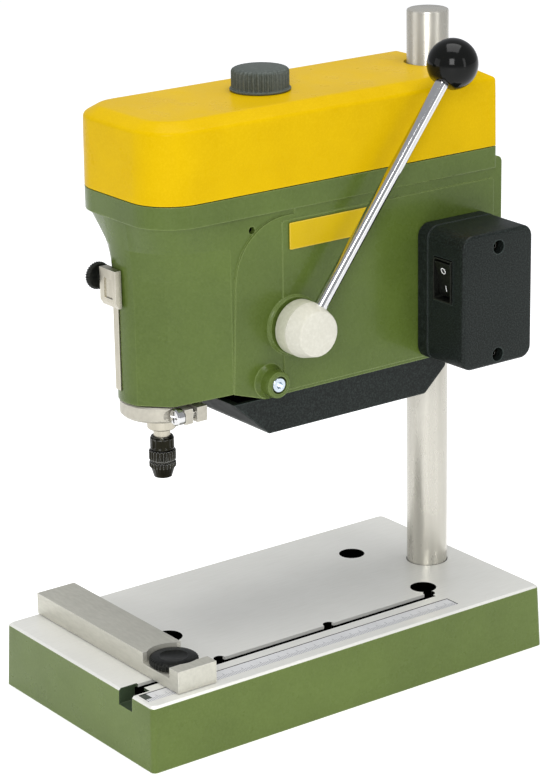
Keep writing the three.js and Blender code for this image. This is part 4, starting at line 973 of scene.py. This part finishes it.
def ring_screw(front, rear):
    """A cheese head with a cross slot, and its shank through both ears."""
    y0, y1 = front - 3.5, front + 0.1
    x, z = RING_SCREW_AT
    profile = [(1.5, y0), (3.2, y0 + 0.15), (3.8, y0 + 0.7), (3.8, y1 - 0.2), (3.6, y1)]
    shank = rod("y", 1.9, (y1 - 0.5, rear + 0.8), RING_SCREW_AT, 32)
    screw = join(turned("y", profile, RING_SCREW_AT, 64), shank)
    slots = [block((x - a, x + a), (y0 - 1, y0 + 1.3), (z - b, z + b))
             for a, b in ((2.5, 0.5), (0.5, 2.5))]
    soften(cut(screw, *slots), 0.15, 2)
    piece("ring_screw", screw, "quill", ["ring_clamp_screw"], "bright_steel", CHROME)


def quill_sleeve():
    z0, z1 = spans("quill")[2]
    at = (0, SPINDLE_Y)
    tube = turned("z", [(13.4, z0), (14, z0 + 0.6), (14, z1 - 0.6), (13.4, z1)], at, 96)
    rack_groove = block((-6, 6), (SPINDLE_Y + 12.4, SPINDLE_Y + 16), (z0 - 1, z1 + 1))
    cut(tube, rod("z", 9.8, (z0 - 1, z1 + 1), at), rack_groove)
    piece("quill_sleeve", tube, "quill", ["quill"], "ground_steel", NICKEL)


def spindle(at):
    top = spans("spindle")[2][1]
    profile = [(3.2, 117), (3.75, 117.5), (3.75, 128.9), (6, 129.1), (6.4, 129.6), (6.5, 135.5),
               (6.2, 135.9), (4, 136), (4, top - 0.5), (3.4, top)]
    piece("spindle_shaft", turned("z", profile, at, 96), "spindle", ["spindle"], "bright_steel", NICKEL)


def chuck():
    at = (0, SPINDLE_Y)
    spindle(at)
    flute = 0.4
    profile = [(5.1, 119.4), (5.3, 119.7), (5.3, 120.2), (5.3, 120.5, flute), (5.3, 124.2, flute),
               (5.3, 124.5), (4.8, 125.4)]
    body = cut(turned("z", profile, at, 216, 12), rod("z", CHUCK_BORE, (110, 130), at, 48))
    piece("chuck_sleeve", body, "spindle", ["chuck_body"], "dark_steel", DARK)
    rib = 0.55
    nose = spans("chuck_nut")[2][0]
    profile = [(3.5, nose), (4, nose + 0.2), (5.2, nose + 4.2), (5.95, nose + 4.9, rib),
               (5.95, nose + 6.9, rib), (5.1, nose + 7.1), (5.1, nose + 7.9), (5.95, nose + 8.1, rib),
               (5.95, nose + 12.2, rib), (5.6, nose + 12.5)]
    nut = turned("z", profile, at, 216, 24)
    cut(nut, rod("z", CHUCK_BORE, (115, 125), at, 48), rod("z", 3, (104, 116), at, 48))
    piece("chuck_collar", nut, "chuck_nut", ["chuck_nut"], "dark_steel", DARK)


# ---------------------------------------------------------------- depth stop
def depth_stop():
    xs, ys, zs = spans("depth_stop_rail")
    rail = soften(block(xs, ys, zs), 0.25, 2)
    piece("stop_rail", rail, "head", ["depth_stop_rail"], "bright_steel", NICKEL)
    stop_slider(xs[0] - GAP)
    thumbscrew()


def stop_slider(jaw):
    """A plate in front of the rail with a jaw on the rail's left and a shallow window."""
    (x0, x1), (y0, y1), (z0, z1) = spans("depth_stop_block")
    side = filleted([(y0, z0 + 2.5), (y0 + 1.5, z0), (y1, z0), (y1, z1), (y0, z1)])
    slider = plate("x", side, (x0, x1))
    cut(slider, block((jaw, x1 + 1), (y0 + 3.1, y1 + 1), (z0 - 1, z1 + 1)),
        block((x0 + 3.2, x1 - 2.4), (y0 - 1, y0 + 0.6), (z0 + 4, z1 - 4)),
        rod("x", 1.2, (x0 - 1, jaw + 0.1), STOP_SCREW_AT, 32))
    soften(slider, 0.3, 2)
    piece("stop_slider", slider, "depth_stop", ["depth_stop_block"], "cast_aluminium", NICKEL)


def thumbscrew():
    x0, x1 = spans("depth_stop_thumbscrew")[0]
    rib = 0.5
    profile = [(5, x0), (5.9, x0 + 0.4, rib), (6.1, x0 + 0.8, rib), (6.1, x0 + 2.2, rib),
               (5.6, x0 + 2.7, rib), (4.6, x0 + 2.8), (1, x0 + 2.9), (0.9, x1)]
    thumb = turned("x", profile, STOP_SCREW_AT, 192, 32)
    piece("stop_thumbscrew", thumb, "depth_stop_knob", ["depth_stop_thumbscrew"], "black_plastic",
          KNOB_BLACK)


# ---------------------------------------------------------------- switch box and plate
def box_outline(inset):
    ys, zs = spans("switch_box_back")[1:]
    return rectangle((ys[0] + inset, ys[1] - inset), (zs[0] + inset, zs[1] - inset),
                     BOX_CORNER - inset, 10)


def box_back():
    room = plate("x", box_outline(2.2), (BOX_INNER + 3, BOX_SPLIT + 1))
    back = cut(plate("x", box_outline(0), (BOX_INNER, BOX_SPLIT)), room)
    piece("box_back", soften(back, 0.6, 3), "head", ["switch_box_back"], "black_plastic", BLACK)


def box_cover():
    outer = spans("switch_box_cover")[0][1]
    start = BOX_SPLIT + GAP
    levels = [[box_outline(0.2), start], [box_outline(0.45), outer - BOX_ROUND]]
    for i in range(1, 7):
        angle = math.pi / 2 * i / 6
        inset = 0.45 + BOX_ROUND * (1 - math.cos(angle))
        levels.append([box_outline(inset), outer - BOX_ROUND + BOX_ROUND * math.sin(angle)])
    cover = stack(levels, "x")
    cut(cover, plate("x", box_outline(2.6), (start - 1, outer - 2.4)))
    join(cover, *[rod("x", 4.4, (outer - 8, outer - 1.5), at, 48) for at in BOX_SCREWS])
    xs, _, zs = spans("switch_frame")
    window = block((xs[0] - 0.3, xs[1] + 0.3), (54, 59), (zs[0] - 0.3, zs[1] + 0.3))
    cut(cover, window, rod("y", 5, (91, 97), INLET, 48),
        *[rod("x", 3.1, (outer - 5.5, outer + 1), at, 48) for at in BOX_SCREWS],
        *[rod("x", 1.6, (outer - 10, outer), at, 24) for at in BOX_SCREWS])
    piece("box_cover", soften(cover, 0.3, 2, 50), "head", ["switch_box_cover"], "black_plastic", BLACK)


def inlet_bush():
    y1 = spans("cable_inlet")[1][1]
    profile = [(4.6, y1 - 11), (4.6, y1 - 6.7), (6.8, y1 - 6.6), (6.8, y1 - 4), (5.5, y1 - 0.5),
               (5.2, y1)]
    bush = cut(turned("y", profile, INLET, 64), rod("y", 2.8, (y1 - 13, y1 + 2), INLET, 32))
    piece("inlet_bush", bush, "head", ["cable_inlet"], "black_plastic", KNOB_BLACK)


def switch_box():
    box_back()
    box_cover()
    for node, at in zip(("switch_box_screw_lower", "switch_box_screw_upper"), BOX_SCREWS):
        screw = socket_screw("x", 2.6, 2, spans(node)[0][1], at, 1.1, 1.2, 12)
        piece(node + "_head", soften(screw, 0.15, 2), "head", [node], "dark_steel", DARK)
    inlet_bush()


def switch_bezel(x, z):
    (x0, x1), (y0, y1), (z0, z1) = spans("switch_frame")
    front = block((x0, x1), (y0, y0 + 2), (z0, z1))
    bezel = join(front, block((x0 + 0.2, x1 - 0.2), (y0 + 1.5, y1), (z0 + 0.2, z1 - 0.2)))
    cut(bezel, block((x - 5.5, x + 5.5), (y0 - 1, y0 + 11), (z - 9.1, z + 9.1)))
    piece("switch_bezel", soften(bezel, 0.25, 2), "head", ["switch_frame"], "black_plastic", KNOB_BLACK)


def power_switch():
    x, _, z = centre("switch_frame")
    switch_bezel(x, z)
    pivot, half = ROCKER_PIVOT_Y, ROCKER_HALF
    side = [(pivot + 1.2, z - half), (pivot - 0.2, z), (pivot - 2.2, z + half), (pivot + 1.5, z + half),
            (pivot + 7, z + 3), (pivot + 7, z - 3), (pivot + 3, z - half)]
    key = soften(plate("x", filleted(side), (x - 5.2, x + 5.2)), 0.35, 3, 6)
    piece("rocker_key", key, "power_rocker", ["power_rocker"], "black_plastic", KNOB_BLACK)
    ring = cut(rod("y", 1.5, (-0.1, 0.05), (0, 0), 48), rod("y", 1.1, (-1, 1), (0, 0), 48))
    place_mark(ring, (x, pivot - 1.27, z + 4.2), math.atan2(2.0, half), "mark_off")
    bar = block((-0.2, 0.2), (-0.05, 0.1), (-1.4, 1.4))
    place_mark(bar, (x, pivot + 0.45, z - 4.2), math.atan2(1.4, half), "mark_on")


def place_mark(mark, at, tilt, name):
    move = Matrix.Translation(Vector(at) * MM) @ Matrix.Rotation(tilt, 4, "X")
    mark.data.transform(move)
    piece(name, mark, "power_rocker", [], "black_plastic", MARK_WHITE)


def nameplate():
    xs, ys, zs = spans("nameplate")
    plain = plate("x", rectangle(ys, zs, 0.6), xs)
    piece("blank_plate", soften(plain, 0.15, 2), "head", ["nameplate"], "plate_yellow", LABEL)


# ---------------------------------------------------------------- studio
CAMERA_AT = (0.9460, -0.6919, 0.5224)
CAMERA_RIGHT = (0.5952, 0.8034, -0.0161)
CAMERA_UP = (-0.2432, 0.1992, 0.9493)
CAMERA_LENS = 128.1
SUBJECT_AT = (0, 0, 0.15)
SKY = (0.93, 0.95, 1, 1)


def link(made):
    bpy.context.scene.collection.objects.link(made)
    return made


def camera():
    view = bpy.data.cameras.new("camera")
    view.sensor_fit = "AUTO"
    view.sensor_width = 36
    view.lens = CAMERA_LENS
    view.clip_start = 0.05
    view.clip_end = 50
    holder = link(bpy.data.objects.new("camera", view))
    right = Vector(CAMERA_RIGHT)
    back = right.cross(Vector(CAMERA_UP)).normalized()
    up = back.cross(right).normalized()
    turn = Matrix((right.normalized(), up, back)).transposed().to_4x4()
    holder.matrix_world = Matrix.Translation(CAMERA_AT) @ turn
    bpy.context.scene.camera = holder


def floor():
    bm = bmesh.new()
    bmesh.ops.create_grid(bm, x_segments=4, y_segments=4, size=9000)
    ground = to_object(bm, Matrix.Translation((0, 0, -0.2)))
    ground.name = "floor"
    made = Finish("floor_white", Emission_Color=(1, 1, 1, 1), Emission_Strength=0.46)
    tone = made.blend(made.noise(3, 3), (0.9, 0.9, 0.9, 1), (0.86, 0.86, 0.855, 1))
    ground.data.materials.append(made.finish(tone, made.fit(made.noise(8, 3), 0.3, 0.7, 0.5, 0.62)))


def soft_light(name, at, size, power):
    """A rectangular lamp that points at the subject."""
    lamp = bpy.data.lights.new(name, "AREA")
    lamp.shape = "RECTANGLE"
    lamp.size, lamp.size_y = size
    lamp.energy = power
    holder = link(bpy.data.objects.new(name, lamp))
    holder.location = at
    holder.rotation_euler = (Vector(at) - Vector(SUBJECT_AT)).to_track_quat("Z", "Y").to_euler()


def studio():
    world = bpy.data.worlds.new("studio")
    bpy.context.scene.world = world
    world.use_nodes = True
    sky = world.node_tree.nodes["Background"]
    sky.inputs[0].default_value = SKY
    sky.inputs[1].default_value = 0.5
    soft_light("key", (1.4, -1.2, 1.0), (0.7, 0.9), 18.5)
    soft_light("left", (-0.6, -1.4, 0.5), (0.8, 0.8), 2.2)
    soft_light("right", (1.6, 0.5, 0.6), (0.3, 1.0), 2.5)
    soft_light("top", (0.1, 0.1, 1.7), (1.2, 1.2), 19)
    bpy.context.scene.view_settings.view_transform = "Standard"


camera()
floor()
studio()
finish_cad_nodes()
base_plate()
scale_strip()
column()
fence()
fence_knob()
head_casting()
belt_cover()
cover_knob()
motor_tray()
head_screws()
feed_hub()
lever()
clamp_ring()
quill_sleeve()
chuck()
depth_stop()
switch_box()
power_switch()
nameplate()
